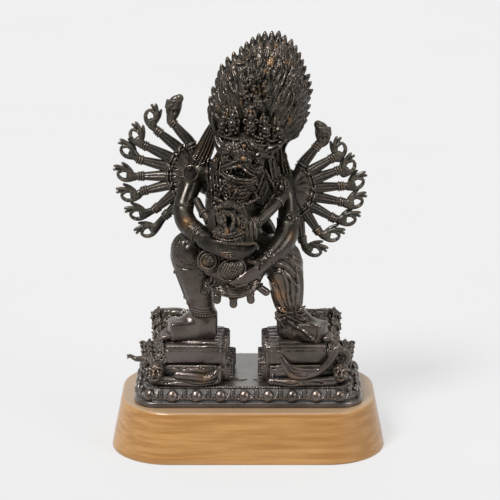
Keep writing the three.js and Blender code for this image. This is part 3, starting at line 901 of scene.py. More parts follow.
def sideFigures(spec):
    # the beings that show along the front of the lower tier
    side = spec["side"]
    floor, front = heaps["floor"], heaps["front"]

    def p(x, y, z, *radius):
        return (side * x, front + y, floor + z, *radius)

    if side < 0:
        strand([p(32, -3, 4.5, 3.4), p(52, -5, 4.2, 4.4), p(72, -4, 4.6, 4.8), p(94, -2, 6, 5.0)], 0.6)
        strand([p(34, -6, 4.2, 0.8), p(50, -9, 2.5, 0.9), p(66, -9, 6.5, 0.9), p(84, -7, 4, 0.8)], 0.4, True)
        arm = [p(31, -6, 17, 2.2), p(34, -7.5, 12.5, 3.2), p(42, -8, 9.8, 3.6), p(54, -8, 11.5, 4.2),
               p(70, -6, 12.5, 4.4)]
        strand(arm, 0.6)
        for k in range(4):
            ring(p(37 + 1.8 * k, -8, 11.6 - 0.6 * k), (1, 0, -0.4), 4.0, 0.6)
        for k in range(4):  # fingers of the raised hand
            strand([p(31 - 1.2 * k, -7, 18, 1.2), p(28.5 - 1.4 * k, -7.4, 20.5 - 0.8 * k, 0.8)])
        strand([p(44, -7, 17, 1.8), p(54, -8, 18.5, 2.1), p(66, -7, 17, 1.9), p(74, -6, 19, 1.6)], 0.5)
        for k in range(9):
            ball(p(44 + 3.2 * k, -8.6, 19.5 + 1.2 * math.sin(1.3 * k)), 1.3)
        strand([p(92, 2, 22, 2.2), p(104, 10, 23.5, 3.0), p(112, 13, 22.5, 2.6), p(118, 14, 25.5, 1.8)], 0.6)
        for k in range(3):
            strand([p(117, 14, 25, 1.2), p(121, 12.5 + 1.5 * k, 27 - 2.4 * k, 0.7)])
        face, size, facing = (side * 91, front - 2, floor + 14), 11, (-0.3, -1, 0.3)
    else:
        strand([p(22, -3, 4.5, 3.4), p(42, -5, 4, 4.4), p(60, -5, 4.4, 4.2), p(84, -3, 5, 4.8)], 0.6)
        strand([p(26, -7, 5.5, 0.8), p(42, -9.2, 3, 0.9), p(58, -9.2, 6, 0.9), p(76, -7, 4, 0.8)], 0.4, True)
        sash = [p(31, -4, 33, 1.8), p(34, -5.5, 28, 2.8), p(38, -7, 21, 4.6), p(46, -8, 15, 6.6),
                p(58, -7.5, 14, 5.6), p(72, -5.5, 16, 3.4)]
        strand(sash, 0.6, thin=(0, 1, 0), ratio=0.5)
        for k in range(3):  # folds in the draped cloth
            strand([p(33 + 2 * k, -8.5, 29 - k, 0.5), p(38 + 2.5 * k, -10.5, 20 - 1.5 * k, 0.7),
                    p(48 + 3 * k, -11, 13.5 + k, 0.7), p(60, -10, 12 + 2 * k, 0.5)], 0.4, True)
        strand([p(70, -5, 15.5, 3.4), p(79, -6, 24, 3.8), p(85, -5, 34, 4.0), p(89, -4, 40, 3.4)], 0.6)
        strand([p(86, -5, 39, 3.2), p(94, -5, 38, 3.0), p(99, -4, 31, 2.8), p(97, -3, 24, 2.8)], 0.6)
        lump(p(31, -5, 35), (3.6, 3, 3), 0.5)
        ring(p(31, -7, 35), (0, -1, 0.2), 2.6, 0.8)
        face, size, facing = (side * 91, front - 3, floor + 14.5), 10.5, (0.2, -1, 0.25)
    smallFace(face, size, facing, (side * 0.2, 0, 1), blend=0.35)
    rng = random.Random(spec["seed"] + 1)
    for k in range(26):  # matted curls round the front head and down the outer edge
        spot = np.array(face) + (side * (rng.random() * 18 - 8), 1 + 3 * rng.random(), 8 + 9 * rng.random())
        ring(spot, (rng.random() - 0.5, -1, 0.4), 1.6, 0.8)
    for k in range(9):
        spot = (side * (98 + 6 * rng.random()), front + 2 + 4 * rng.random(), floor + 3 + 2.4 * k)
        ball(spot, 2.2, 0.5)


def makeHeap(which):
    s, spec = heaps, heaps[which]
    side = spec["side"]
    xs = sorted((side * 10, side * 124))
    low, high = (xs[0], -62, s["floor"] - 2), (xs[1], 54, s["floor"] + 2 * s["tier"] + 25)
    newWax(low, high, s["voxel"])
    heapBeings(spec)
    sideFigures(spec)
    top = s["floor"] + 2 * s["tier"]

    def robeLines(x, y, z):
        wavy = np.sin(2 * math.pi * (y + 0.12 * np.abs(x) + 1.5 * np.sin(x / 9)) / 3.1)
        return wavy * (z > top - 5) * (y < 0.39 * np.abs(x) - 2)  # on the top only, not down the back

    engrave((side * 66, 4, top), (46, 44, 14), 0.5, robeLines)

    def wrinkles(x, y, z):
        return np.sin(x * 1.9 + y * 0.6) * np.sin(y * 1.7 - z * 0.9) + np.sin(z * 2.3 + x * 0.8) * 0.6

    engrave((side * 94, 0, s["floor"] + 20), (20, 60, 30), 0.42, wrinkles)
    levelOff(s["floor"])
    slab((side * 53, -20, top + 5.1), (34, 19, 5), 1.0, 0.5, True)  # a level bed for the sole
    left, right = spec["folds"]
    for k in range(7):  # wavy folds of the robes that show beside the foot
        v = 310.0 + 2.0 * k
        stripe = [(left + (right - left) * share, v + wave, 0.75) for share, wave in ((0, 1.2), (0.3, -0.4),
                                                                                      (0.6, 0.3), (1, 0.2))]
        laid(stripe, 0.2, cut=True)
    for ends, highest, count in (((216, 231), 329, 6), ((230, 242), 352, 9)):  # ribs of the inner ends
        for k in range(count):
            groove = []
            for u in np.arange(*ends, 2.0):
                groove.append((u if side < 0 else s["mirror"] - u, highest + 3.0 * k, 0.85))
            laid(groove, 0.2, 0.2, cut=True, steps=2)
    dusty = [(side * 95, y, z, 30, 0.75) for y in (-30, 0, 30) for z in (85, 108)]
    dusty += [(side * 22, 0, 90, 22, 0.4), (side * 50, -48, 82, 22, 0.25)]
    warm = [(side * 45, -53, 83, 12, 0.2), (side * 92, -54, 90, 6, 0.2), (side * 23, -45, 100, 6, 0.35)]
    return cast(f"heap_of_beings_{which}", s["mostFaces"], warm, dusty)


# The main figure

deity = {
    "low": (-94, -80, 111), "high": (94, 42, 421.5), "voxel": 0.65, "mostFaces": 198000, "sole": 112.9,
    "legs": [
        {"hip": (-28, 2, 196), "knee": (-57, -27, 206), "shin": (-51, -29, 174), "ankle": (-45, -18, 138),
         "heel": (-44, -15, 124), "toe": (-70, -21, 121), "turn": 0.21, "out": -1},
        {"hip": (10, 2, 194), "knee": (33, -28, 197), "shin": (38, -31, 168), "ankle": (42, -19, 138),
         "heel": (43, -14, 124), "toe": (67, -27, 121), "turn": -0.48, "out": 1},
    ],
    "trunk": [(-10, 6, 178, 20), (-10, 6, 192, 33), (-16, 4, 214, 28), (-15, 2, 236, 28), (-7, 1, 258, 35),
              (-4, 0, 276, 35), (0, -4, 304, 22)],
    "rightArm": [(-50, 2, 276, 9.5), (-56, -5, 267, 10.6), (-61, -12, 256, 10.2), (-64, -19, 245, 9.8),
                 (-60, -30, 234.5, 10.4), (-49, -42, 227, 9.6), (-39, -53, 223, 7.6)],
    "leftArm": [(35, 1, 266, 10.5), (38, -5, 257, 9.6), (39, -10, 247, 9.4), (39, -18, 233, 10.2),
                (37, -29, 220.5, 11.4), (29, -40, 210.5, 9.8), (16, -50, 200.5, 7.4)],
}


def makeLegs():
    for leg in deity["legs"]:
        out = leg["out"]
        strand([(*leg["hip"], 22), (*leg["knee"], 19.5), (*leg["shin"], 16.0), (*leg["ankle"], 12.2)], 3)
        heel, toe = np.array(leg["heel"], float), np.array(leg["toe"], float)
        middle = (heel + toe) / 2
        axes = turned(leg["turn"])
        # a plain block of a foot, its front one flat face down to the sole
        slab(middle + (0, 0, -1.5), (23, 11, 10.5), 3.5, 3, axes=axes)
        slab(heel + (-out * 1, 0, 4.5), (11, 11.5, 14), 4, 3, axes=axes)
        instep = [(*(heel + (out * 4, 0, 9)), 12), (*(middle + (out * 3, 0, 4)), 10),
                  (*(toe + (out * 2, 0, -0.5)), 8.5)]
        strand(instep, 3)
        for toeNumber in range(5):  # toes across the blunt end of the foot
            spot = toe + (out * 10, 8 - 4.2 * toeNumber, -4.5)
            strand([(*spot, 3.0), (*(spot + (out * 5, -0.5, -0.8)), 2.7)], 0.6)

    # viewer's left leg: domed kneecap, beaded garter, an edge of small ornaments down the outside
    crust((-58, -34, 200), (28, 26, 38), 0.4, 2.4, 9)
    lump((-57.5, -41, 206), (9.5, 7.4, 12.5), 0.4)
    laid([(178, 246, 0.6), (182, 239.5, 0.6), (190, 238, 0.6), (196.5, 243, 0.6), (198.5, 252, 0.6),
          (195.5, 261, 0.6), (187, 265, 0.6), (180, 260, 0.6), (177.5, 252, 0.6), (178, 246, 0.6)], 0.1,
         cut=True)
    laid([(173, 262, 0.5), (182, 268, 0.6), (194, 269, 0.6), (205, 265, 0.5)], 0.0, cut=True)
    for u, v in ((173, 272), (174, 279), (176, 285), (179, 291), (183, 297), (186, 303)):
        touch(u + 2, v, 2.0, 0.8)
    laid([(176, 271, 1.1), (179, 285, 1.2), (187, 300, 1.1)], 0.2)
    for left, low, right, high in ((191, 306, 217, 306.5), (284, 304, 308, 302)):  # anklets
        for drop, r in ((1, 0.6), (3.2, 0.8), (5.4, 0.6)):
            lowest = ((left + right) / 2, (low + high) / 2 + drop + 2.2, r)
            laid([(left, low + drop, r), lowest, (right, high + drop, r)], 0.4, steps=6)
        for k in range(10):
            share = (k + 0.5) / 10
            sag = 2.2 * 4 * share * (1 - share)
            touch(left + (right - left) * share, low + (high - low) * share + sag + 7.5, 1.2, 0.4)

    # viewer's right leg: folds of the hide fan out over the thigh and fall to the ankle
    crust((36, -30, 204), (26, 24, 20), 0.4, 2.4, 8)
    for k in range(7):
        laid([(262 + 2 * k, 247 + 4.2 * k, 0.8), (274 + 1.2 * k, 246 + 4.4 * k, 1.2),
              (288, 249 + 4.6 * k, 1.2), (300.5 - 0.2 * k, 258 + 5 * k, 0.9)], 0.3, cut=k % 2 == 1)
    falls = [
        [(268, 277, 1.3), (275, 287, 1.7), (279, 300, 1.5), (286, 312, 1.1)],
        [(282, 271, 1.2), (287, 283, 1.6), (288, 297, 1.6), (291, 310, 1.1)],
        [(296, 268, 1.2), (298, 283, 1.5), (297, 297, 1.5), (296, 309, 1.0)],
        [(302, 272, 1.2), (302.5, 287, 1.4), (302, 303, 1.0)],
    ]
    for fall in falls:
        laid(fall, 0.5)
        laid([(u + 3.2, v, r * 0.55) for u, v, r in fall], 0.2, cut=True)
    laid([(264, 282, 1.1), (271, 291, 1.3), (274, 303, 1.2), (282, 317, 1.0)], 0.6)
    for side in (-1, 1):  # leafy ties at the ankle
        for k in range(3):
            spot = seenAt(291 + side * 5, 312 + 2 * k, 0.5)
            strand([(*spot, 1.4), (spot[0] + side * (5 + k), spot[1] - 1, spot[2] + 3 - 3 * k, 2.2),
                    (spot[0] + side * (9 + k), spot[1] + 1, spot[2] + 6 - 4 * k, 0.8)])
    sash = [(284, 318, 1.4), (294, 325, 2.0), (304, 331, 1.8), (312, 338, 1.5)]
    laid(sash, 0.6)
    laid([(u, v - 0.8, 0.6) for u, v, _ in sash], 2.2, cut=True)
    laid([(287, 316, 1.0), (298, 321, 1.4), (312, 324, 1.2), (322, 327, 0.8)], 0.4)
    touch(313, 339, 2.2, 0.8)
    laid([(278, 311, 1.3), (275, 315, 1.7), (280, 321, 1.5), (284, 327, 1.1)], 0.5)


def makeTrunk():
    strand(deity["trunk"], 3, thin=(0, 1, 0), ratio=0.72)
    for x, z in ((-46, 275), (34, 265)):
        ball((x, 3, z), 11, 4)
    for k in range(9):  # net of bone ornaments over the back of the hips
        x = -44 + 8.5 * k
        strand([(x, 29, 214, 1.2), (x + 2, 30, 203, 1.2), (x, 28, 192, 1.2)], 0.5)


def makeHide():
    # the flayed hide over the back, with a fluted fold down to each shoulder
    hide = [(2, 18, 302, 25), (-5, 24, 268, 33), (-14, 23, 238, 26), (-10, 21, 205, 29), (-10, 18, 192, 24)]
    strand(hide, 3, thin=(0, 1, 0), ratio=0.32)
    folds = [
        [(-33, 6, 325, 5), (-37.5, 8, 314, 7), (-43, 8, 300, 9), (-50, 5, 286, 10)],
        [(31, 6, 312, 5), (31.5, 8, 298, 6.5), (33, 8, 284, 7.5), (37, 5, 270, 8.5)],
    ]
    for fold in folds:
        strand(fold, 2, thin=(0, 1, 0), ratio=0.75)
        for k in range(-2, 3):  # flutes run down the fold and fan out
            run = [(x + k * 0.36 * r, y - 0.72 * r - 0.5 + 0.3 * abs(k), z, 0.95) for x, y, z, r in fold]
            strand(run, 0.6, True)
            strand([(x + 0.17 * r, y, z, 0.8) for (x, y, z, _), (_, _, _, r) in zip(run, fold)], 0.5)
    for k in range(7):  # flutes down the back
        x = -30 + 9 * k
        strand([(x * 0.7, 26, 300, 1.2), (x - 3, 33.5 - 0.004 * x * x, 262, 2.0),
                (x * 0.8 - 10, 31.5 - 0.004 * x * x, 236, 1.8), (x - 8, 29.5 - 0.004 * x * x, 205, 1.6)], 1.2)
    # its ends hang behind the hips
    strand([(-30, 26, 214, 3), (-36, 24, 190, 4), (-40, 18, 165, 3.4), (-42, 14, 150, 2)], 1.5)
    strand([(14, 26, 214, 3), (20, 24, 190, 4), (24, 18, 168, 3.4), (25, 14, 152, 2)], 1.5)
    strand([(6, 20, 238, 5), (14, 20, 226, 6.5), (22, 18, 214, 6), (28, 14, 200, 4)], 1.5, thin=(0, 1, 0.3),
           ratio=0.6)
    # thin scarf across the shoulder
    laid([(182, 143, 0.7), (188, 151, 0.8), (195, 160, 0.8), (203, 164, 0.8), (214, 162, 0.7)], 0.4)


hair = {
    "rows": [  # height, x of the middle and half the width
        (300, 4, 20), (312, 7, 31), (320, 10, 36), (332, 12, 41), (345, 11, 44), (360, 13, 43.5),
        (372, 14.5, 40), (385, 15, 34.5), (393, 17.5, 29), (398, 19.5, 25), (404, 21.5, 19.5),
        (409, 23, 12.5), (412, 23.5, 4),
    ],
    "middle": 6, "flat": 0.64,
    "tips": [  # x and z of the flame tips round the outline, from the left ear over the top
        (-38.5, 343), (-37.4, 352.6), (-34.6, 362.5), (-30.8, 371), (-28.4, 378.3), (-26, 385),
        (-20.3, 392), (-14, 397), (-6.8, 402.4), (-1.4, 407), (4.4, 411.5), (10.4, 415), (16.4, 417.2),
        (23.2, 417.4), (30, 417.6), (35.9, 413.6), (42.5, 409.5), (46.8, 403.5), (50.6, 396.5),
        (53.6, 389.5), (56.2, 383), (60, 375), (61.5, 367.5), (62.8, 360), (60.6, 352),
        (60.8, 344.5), (60, 337), (57.5, 329.5), (53, 322),
    ],
    # each row of locks: its share of the outline, and that it takes every nth tip
    "lockRows": ((0.87, 1), (0.72, 2), (0.57, 2), (0.42, 3), (0.28, 5)),
    "centre": (12.0, 350.0), "curls": 110, "gaps": 44, "seed": 5,
}


def hairSurface(x, z, face):
    # y of the front, -1, or back, 1, of the hair mass at a place
    zs, xs, halves = zip(*hair["rows"])
    centre, half = np.interp(z, zs, xs), np.interp(z, zs, halves)
    out = min(abs(x - centre) / max(half, 0.1), 1.0)
    return hair["middle"] + face * half * hair["flat"] * math.sqrt(1 - out * out)


def flameAngle(x, z):
    # how far a flame leans from upright at a place
    if x < 22:
        return -0.26 * np.clip((22 - x) / 58, 0, 1)
    return np.clip((x - 22) / 38, 0, 1) * (1.0 - 0.62 * np.clip((z - 322) / 85, 0, 1))


def flamePath(x, z, length, curl, widths):
    # from root to tip; the tip bends outward and the run waves a little
    angle = flameAngle(x, z)
    path, steps = [], len(widths)
    for k, r in enumerate(widths):
        share = k / (steps - 1)
        path.append((x, z, r))
        back = length * (0.6 + 0.8 * share) / (steps - 1)
        lean = angle * (1.15 - 0.5 * share) + curl * math.cos(math.pi * (0.2 + 1.6 * share))
        x, z = x - back * math.sin(lean), z - back * math.cos(lean)
    return path[::-1]


def makeHair():
    zs, xs, halves = (np.array(c, float) for c in zip(*hair["rows"]))

    def mass(x, y, z):
        centre, half = np.interp(z, zs, xs), np.interp(z, zs, halves)
        out = np.sqrt(((x - centre) / half) ** 2 + ((y - hair["middle"]) / (half * hair["flat"])) ** 2)
        return np.maximum((out - 1) * half * hair["flat"], np.maximum(302 - z, z - 410))

    fullField((-42, -30, 300), (66, 40, 415), mass, 2)
    rng = random.Random(hair["seed"])
    tips = hair["tips"]
    for x, z in tips:  # the outer rim of blunt, leaf-like flames, one in front of another
        for depth, inward in ((0, 0), (-4.6, 4.5), (4.6, 4.5)):
            widths = (1.2, 2.6, 3.3, 3.5, 3.2, 2.6) if depth == 0 else (1.2, 2.9, 3.7, 3.7, 3.2, 2.6)
            path = flamePath(x - inward * math.sin(flameAngle(x, z)), z - inward, 25, 0.08, widths)
            strand([(px, hair["middle"] + depth, pz, r) for px, pz, r in path], 0.2)
            if depth:
                for off in (-1.4, 1.2):
                    line = [(px + off, hair["middle"] + depth * 1.76, pz, 0.6) for px, pz, _ in path[1:]]
                    strand(line, 0.2, True)

    middle = np.array(hair["centre"])
    for row, (scale, skip) in enumerate(hair["lockRows"]):
        for k in range(row % 2, len(tips) - 1, skip):  # broad locks over the front and the back
            a, b = np.array(tips[k], float), np.array(tips[k + 1], float)
            x, z = middle + scale * ((a + b) / 2 - middle if row % 2 == 0 else a - middle)
            curl = 0.7 * (rng.random() - 0.5) + (0.35 if x < 16 else -0.3)
            length = 30 + 10 * rng.random()
            lock = flamePath(x, z, length, curl, (1.4, 3.6, 5.0, 5.4, 4.8, 3.4))
            for face in (-1, 1):
                run = []
                for n, (px, pz, r) in enumerate(lock):
                    lift = -3.4 + 5.0 * (n / (len(lock) - 1)) ** 1.3
                    run.append((px, hairSurface(px, pz, face) + face * lift, pz, r))
                strand(run, 0.15, steps=3)
                for off in (-2.6, -0.9, 0.9, 2.6):  # combed lines along each lock
                    line = []
                    for px, y, pz, r in run[1:]:
                        proud = math.sqrt(max(r * r - off * off, 0.1)) + 0.1
                        line.append((px + off * r / 4, y + face * proud, pz, 0.5))
                    strand(line, 0.15, True, steps=3)

    for k in range(hair["curls"]):  # short and tangled, in the middle of the front
        turn, far = rng.random() * 2 * math.pi, math.sqrt(rng.random())
        u, v = 255 + 15 * far * math.cos(turn), 93 + 16 * far * math.sin(turn)
        spot = seenAt(u, v, 0.3 + 0.9 * rng.random())
        way = rng.random() * 2 * math.pi
        dx, dz = 2.0 * math.cos(way), 2.0 * math.sin(way)
        curl = [(*(spot + (-dx, 0.8, -dz)), 0.8), (*(spot + (0, -0.8, 0.6)), 1.1),
                (*(spot + (dx, 0.5, dz)), 0.7)]
        strand(curl, 0.3, steps=2)
        if k % 2 == 0:
            ball(spot + (dz, -0.6, -dx), 1.2, 0.2, True)
    smallFace((9.5, -29, 354.5), 6.2, (0.05, -1, 0.1))
    smallFace((17, -24.5, 383), 4.8, (0.1, -1, 0.1))
    ribbons = [
        [(230, 60), (234, 63), (240, 64), (246, 61), (250, 56), (255, 55)],
        [(293, 68), (297, 74), (301, 80), (303, 86)],
        [(283, 58), (286, 68), (284, 78), (280, 88)],
        [(291, 86), (294, 94), (292, 104)],
    ]
    for ribbon in ribbons:
        laid([(u, v, 1.1) for u, v in ribbon], 0.8)
        laid([(u + 1.8, v + 1.8, 1.0) for u, v in ribbon], 0.3, cut=True)
    for k in range(hair["gaps"]):  # deep, between the locks
        u, v = 222 + 78 * rng.random(), 50 + 70 * rng.random()
        lean = -0.2 if u < 262 else 0.6
        laid([(u, v, 0.7), (u - 5 * lean, v + 6, 1.5), (u - 11 * lean, v + 14, 0.8)], 0.3, cut=True)


def roughSkin():
    # crusted, much worked surface of the head, beard, chest and apron: place, reach, depth, grain, seed
    for centre, radii, depth, grain, seed in (
            ((-6, -38, 298), (32, 20, 26), 0.55, 2.6, 1), ((-10, -36, 270), (28, 18, 18), 0.6, 2.4, 2),
            ((2, -30, 326), (36, 20, 14), 0.4, 2.4, 3), ((-12, -44, 178), (34, 16, 18), 0.35, 2.6, 5),
            ((20, -24, 268), (18, 20, 28), 0.45, 2.6, 6), ((-38, -8, 258), (16, 20, 34), 0.5, 2.8, 7)):
        crust(centre, radii, depth, grain, seed)


def makeFaceLines():
    # what shows of the face, placed by where it is seen
    plate(252.5, 145.5, 5.2, 4.2, -25, 3.0, 2.4)  # smooth planes over the right eye
    plate(258, 155, 5.2, 4.4, 30, 2.4, 2.4)
    laid([(247.5, 139.5, 0.7), (250, 146, 0.8), (255, 150, 0.6)], 0.3, 0.2, cut=True)
    plate(270.5, 149, 11.0, 4.6, 26, 5.0, 3.4)  # long smooth leaf of the ear
    plate(280.5, 142.5, 7.5, 2.6, 33, 3.0, 2.4)
    laid([(264, 158.5, 0.8), (274, 154.5, 0.9), (281, 149, 0.9), (287, 141, 0.7)], 0.8, 0.3)
    laid([(262, 143.5, 0.8), (270, 141, 0.9), (278, 138, 0.8)], 0.4, 0.3, cut=True)
    plate(228, 150.5, 2.9, 3.4, 0, 2.0, 2.4)  # knob over the left eye
    plate(233.5, 143.5, 1.8, 5.5, 12)
    for k in range(8):  # ring of beads round the third eye
        turn = k * math.pi / 4
        touch(244 + 4.4 * math.cos(turn), 146 + 4.4 * math.sin(turn), 1.1, 0.6)
    touch(244, 146, 2.2, 0.4)
    plate(243.5, 158.5, 3.2, 2.8, 0, 1.2, 2.2)
    touch(247.5, 157, 1.8, 0.8)
    touch(244.8, 160.5, 1.0, 1.2, True)
    for u, v, r in ((225, 156, 2.0), (231, 158, 2.0), (253, 163.5, 2.4), (258, 165, 2.0), (236, 155, 1.4)):
        touch(u, v, r, 0.4, True)
    for u, v, r in ((225, 157, 1.2), (231, 159, 1.2), (254, 164.5, 1.3)):
        touch(u, v, r, 0.2)
    laid([(222, 162, 0.9), (228, 160.5, 1.0), (235, 163, 1.0)], 0.6, 0.3)
    laid([(250, 167, 0.9), (256, 169, 1.0), (262, 166, 0.8)], 0.6, 0.3)
    # black mouth between a bright upper lip and the two lines of the lower one
    for u, v, r in ((229, 172, 3.2), (233, 173.5, 3.6), (237.5, 173.5, 3.8), (242, 174.5, 3.2),
                    (246, 176, 2.4)):
        touch(u, v, r, 0.8, True)
    laid([(229, 168.5, 1.1), (234.5, 167.2, 1.3), (239, 165.8, 1.4)], 1.6, 0.3)
    laid([(239, 165.8, 1.4), (244, 169, 1.4), (250.5, 174.5, 1.1)], 1.6, 0.3)
    plate(234.5, 167, 4.5, 1.2, 14, 2.2, 0.9)
    plate(245, 170, 5.0, 1.2, -40, 2.2, 0.9)
    laid([(223, 172.3, 1.0), (229, 176.8, 1.3), (237, 178.9, 1.4), (246, 180, 1.3), (255.5, 179.3, 1.0)], 1.4,
         0.2)
    laid([(226, 176.9, 0.8), (233, 180.4, 1.0), (243, 182.6, 1.0), (251, 182.6, 0.8)], 1.0, 0.2)
    laid([(224, 174.8, 0.7), (231, 178.9, 0.8), (242, 181.2, 0.8), (253, 181.3, 0.6)], 0.3, 0.2, cut=True)
    laid([(227, 170.5, 0.9), (228, 174.5, 1.1), (233, 176.8, 0.9)], 0.8, 0.3)
    for k in range(3):  # folds of the cheek
        laid([(246 + 2.5 * k, 164 - k, 0.8), (253 + 2 * k, 168.5, 0.9), (259 + 1.5 * k, 175, 0.7)], 0.5, 0.3)
    for u, v in ((240, 171.5), (243.5, 172.8), (247, 175)):
        touch(u, v + 1, 1.2, 0.4)
    # folds that hang beside the head
    for k in range(4):
        u = 268.5 + 4.2 * k
        laid([(u, 158 - 3 * k, 0.9), (u + 1.5, 167, 1.2), (u + 4, 180, 1.1), (u + 6, 192, 0.8)], 0.4, 0.3)
        laid([(u + 2, 158 - 3 * k, 0.8), (u + 3.5, 167, 1.2), (u + 6, 180, 1.0)], 0.2, 0.3, cut=True)
    for k in range(5):
        u = 208 + 3.2 * k
        laid([(u, 158 + k, 0.9), (u - 1, 172, 1.1), (u, 186, 1.0), (u + 1, 196, 0.7)], 0.4, 0.3)
        laid([(u + 1.6, 159 + k, 0.6), (u + 0.6, 172, 0.9), (u + 1.6, 188, 0.8)], 0.1, 0.3, cut=True)
    for k in range(12):
        turn = k * math.pi / 6
        touch(281 + 4.6 * math.cos(turn), 187 + 6.0 * math.sin(turn), 1.2, 0.8)
    plate(281, 187, 3.0, 3.8, 0, 0.8)
    for u, v in ((278, 183), (284, 190)):
        touch(u, v, 0.9, 1.4, True)
    rng = random.Random(31)
    for k in range(46):  # loose curls and beads of the beard and collar
        u, v = 213 + 44 * rng.random(), 184 + 12 * rng.random()
        touch(u, v, 1.3 + 0.5 * rng.random(), 0.4, k % 3 == 0)
    for k in range(18):
        touch(210 + 14 * rng.random(), 196 + 40 * rng.random(), 1.4, 0.4, k % 2 == 0)


crown = {
    "skulls": [(-24, -21.5, 328), (-15, -28.5, 331.5), (2.5, -32.5, 332), (16.5, -29.5, 325.5),
               (29.5, -22, 323)],
    "band": [(-31, -10, 320, 1.8), (-26, -21, 318.5, 2.0), (-15, -30, 317.5, 2.0), (-2, -34, 317.5, 2.0),
             (11, -31.5, 315.5, 2.0), (24, -23.5, 313.5, 1.9), (33, -10, 315, 1.6)],
}


def makeCrown():
    skulls, band = crown["skulls"], crown["band"]
    strand([(x, y + 2, z + 2, r) for x, y, z, r in band], 0.6)
    for k, (x, y, z) in enumerate(smoothRun([(x, y * 1.03, z + 1.5) for x, y, z, _ in band], 5)):
        ball((x, y, z), 1.5 if k % 2 else 1.1)
    for x, y, z in skulls:
        out = unit((x - 2, y + 4, 0))
        across = np.cross(out, (0, 0, 1))
        axes = axesFor((*out[:2], 0.12))

        def at(side, front, up):
            return np.array((x, y, z), float) + side * across + front * out + (0, 0, up)

        leaf = [(0, -4.0, -5, 4.6), (0, -4.0, 4, 5.8), (0, -4.0, 12, 4.2), (0, -4.0, 19, 0.9)]
        strand(runAt(at, leaf), 0.6, thin=tuple(out), ratio=0.45)
        for side in (-1, 1):  # scrolls at each side of the leaf
            ring(at(side * 5.2, -1.0, 5.0), out, 1.8, 0.7)
            ball(at(side * 5.0, -0.6, -2.0), 1.7, 0.4)
            strand(runAt(at, [(side * 4.4, -2, 10, 1.4), (side * 3.0, -2, 15, 1.0)]))
        lump(at(0, 0.6, 2.2), (4.9, 5.0, 5.0), 0.3, axes=axes)  # domed skull
        lump(at(0, 0.8, -3.2), (3.4, 3.4, 2.7), 0.5, axes=axes)
        for side in (-1, 1):  # sockets and cheeks
            lump(at(side * 2.0, 4.0, -0.9), (1.4, 2.0, 1.3), 0.2, True, axes)
            ball(at(side * 3.0, 3.0, -2.9), 1.2)
        ball(at(0, 4.5, -2.6), 0.9, 0.2, True)
        strand(runAt(at, [(-2, 4.0, -4.6, 0.5), (2, 4.0, -4.6, 0.5)]), 0.2, True)
        lump(at(0, -0.6, 9.4), (3.2, 3.0, 3.6), 0.2, axes=axes)
        ball(at(0, -1.6, 14.4), 1.7, 0.4)
    for a, b in zip(skulls, skulls[1:]):  # swags of beads from skull to skull, dark gaps above them
        a, b = np.array(a, float), np.array(b, float)
        gap = (a + b) / 2 + (0, -2.5, 2.0)
        lump(gap, (1.5, 4.5, 5.0), 0.4, True)
        for k in range(1, 6):
            t = k / 6
            low = (0, -1.5 - 1.2 * math.sin(math.pi * t), -5 - 2.6 * math.sin(math.pi * t))
            ball(a + (b - a) * t + low, 1.3)


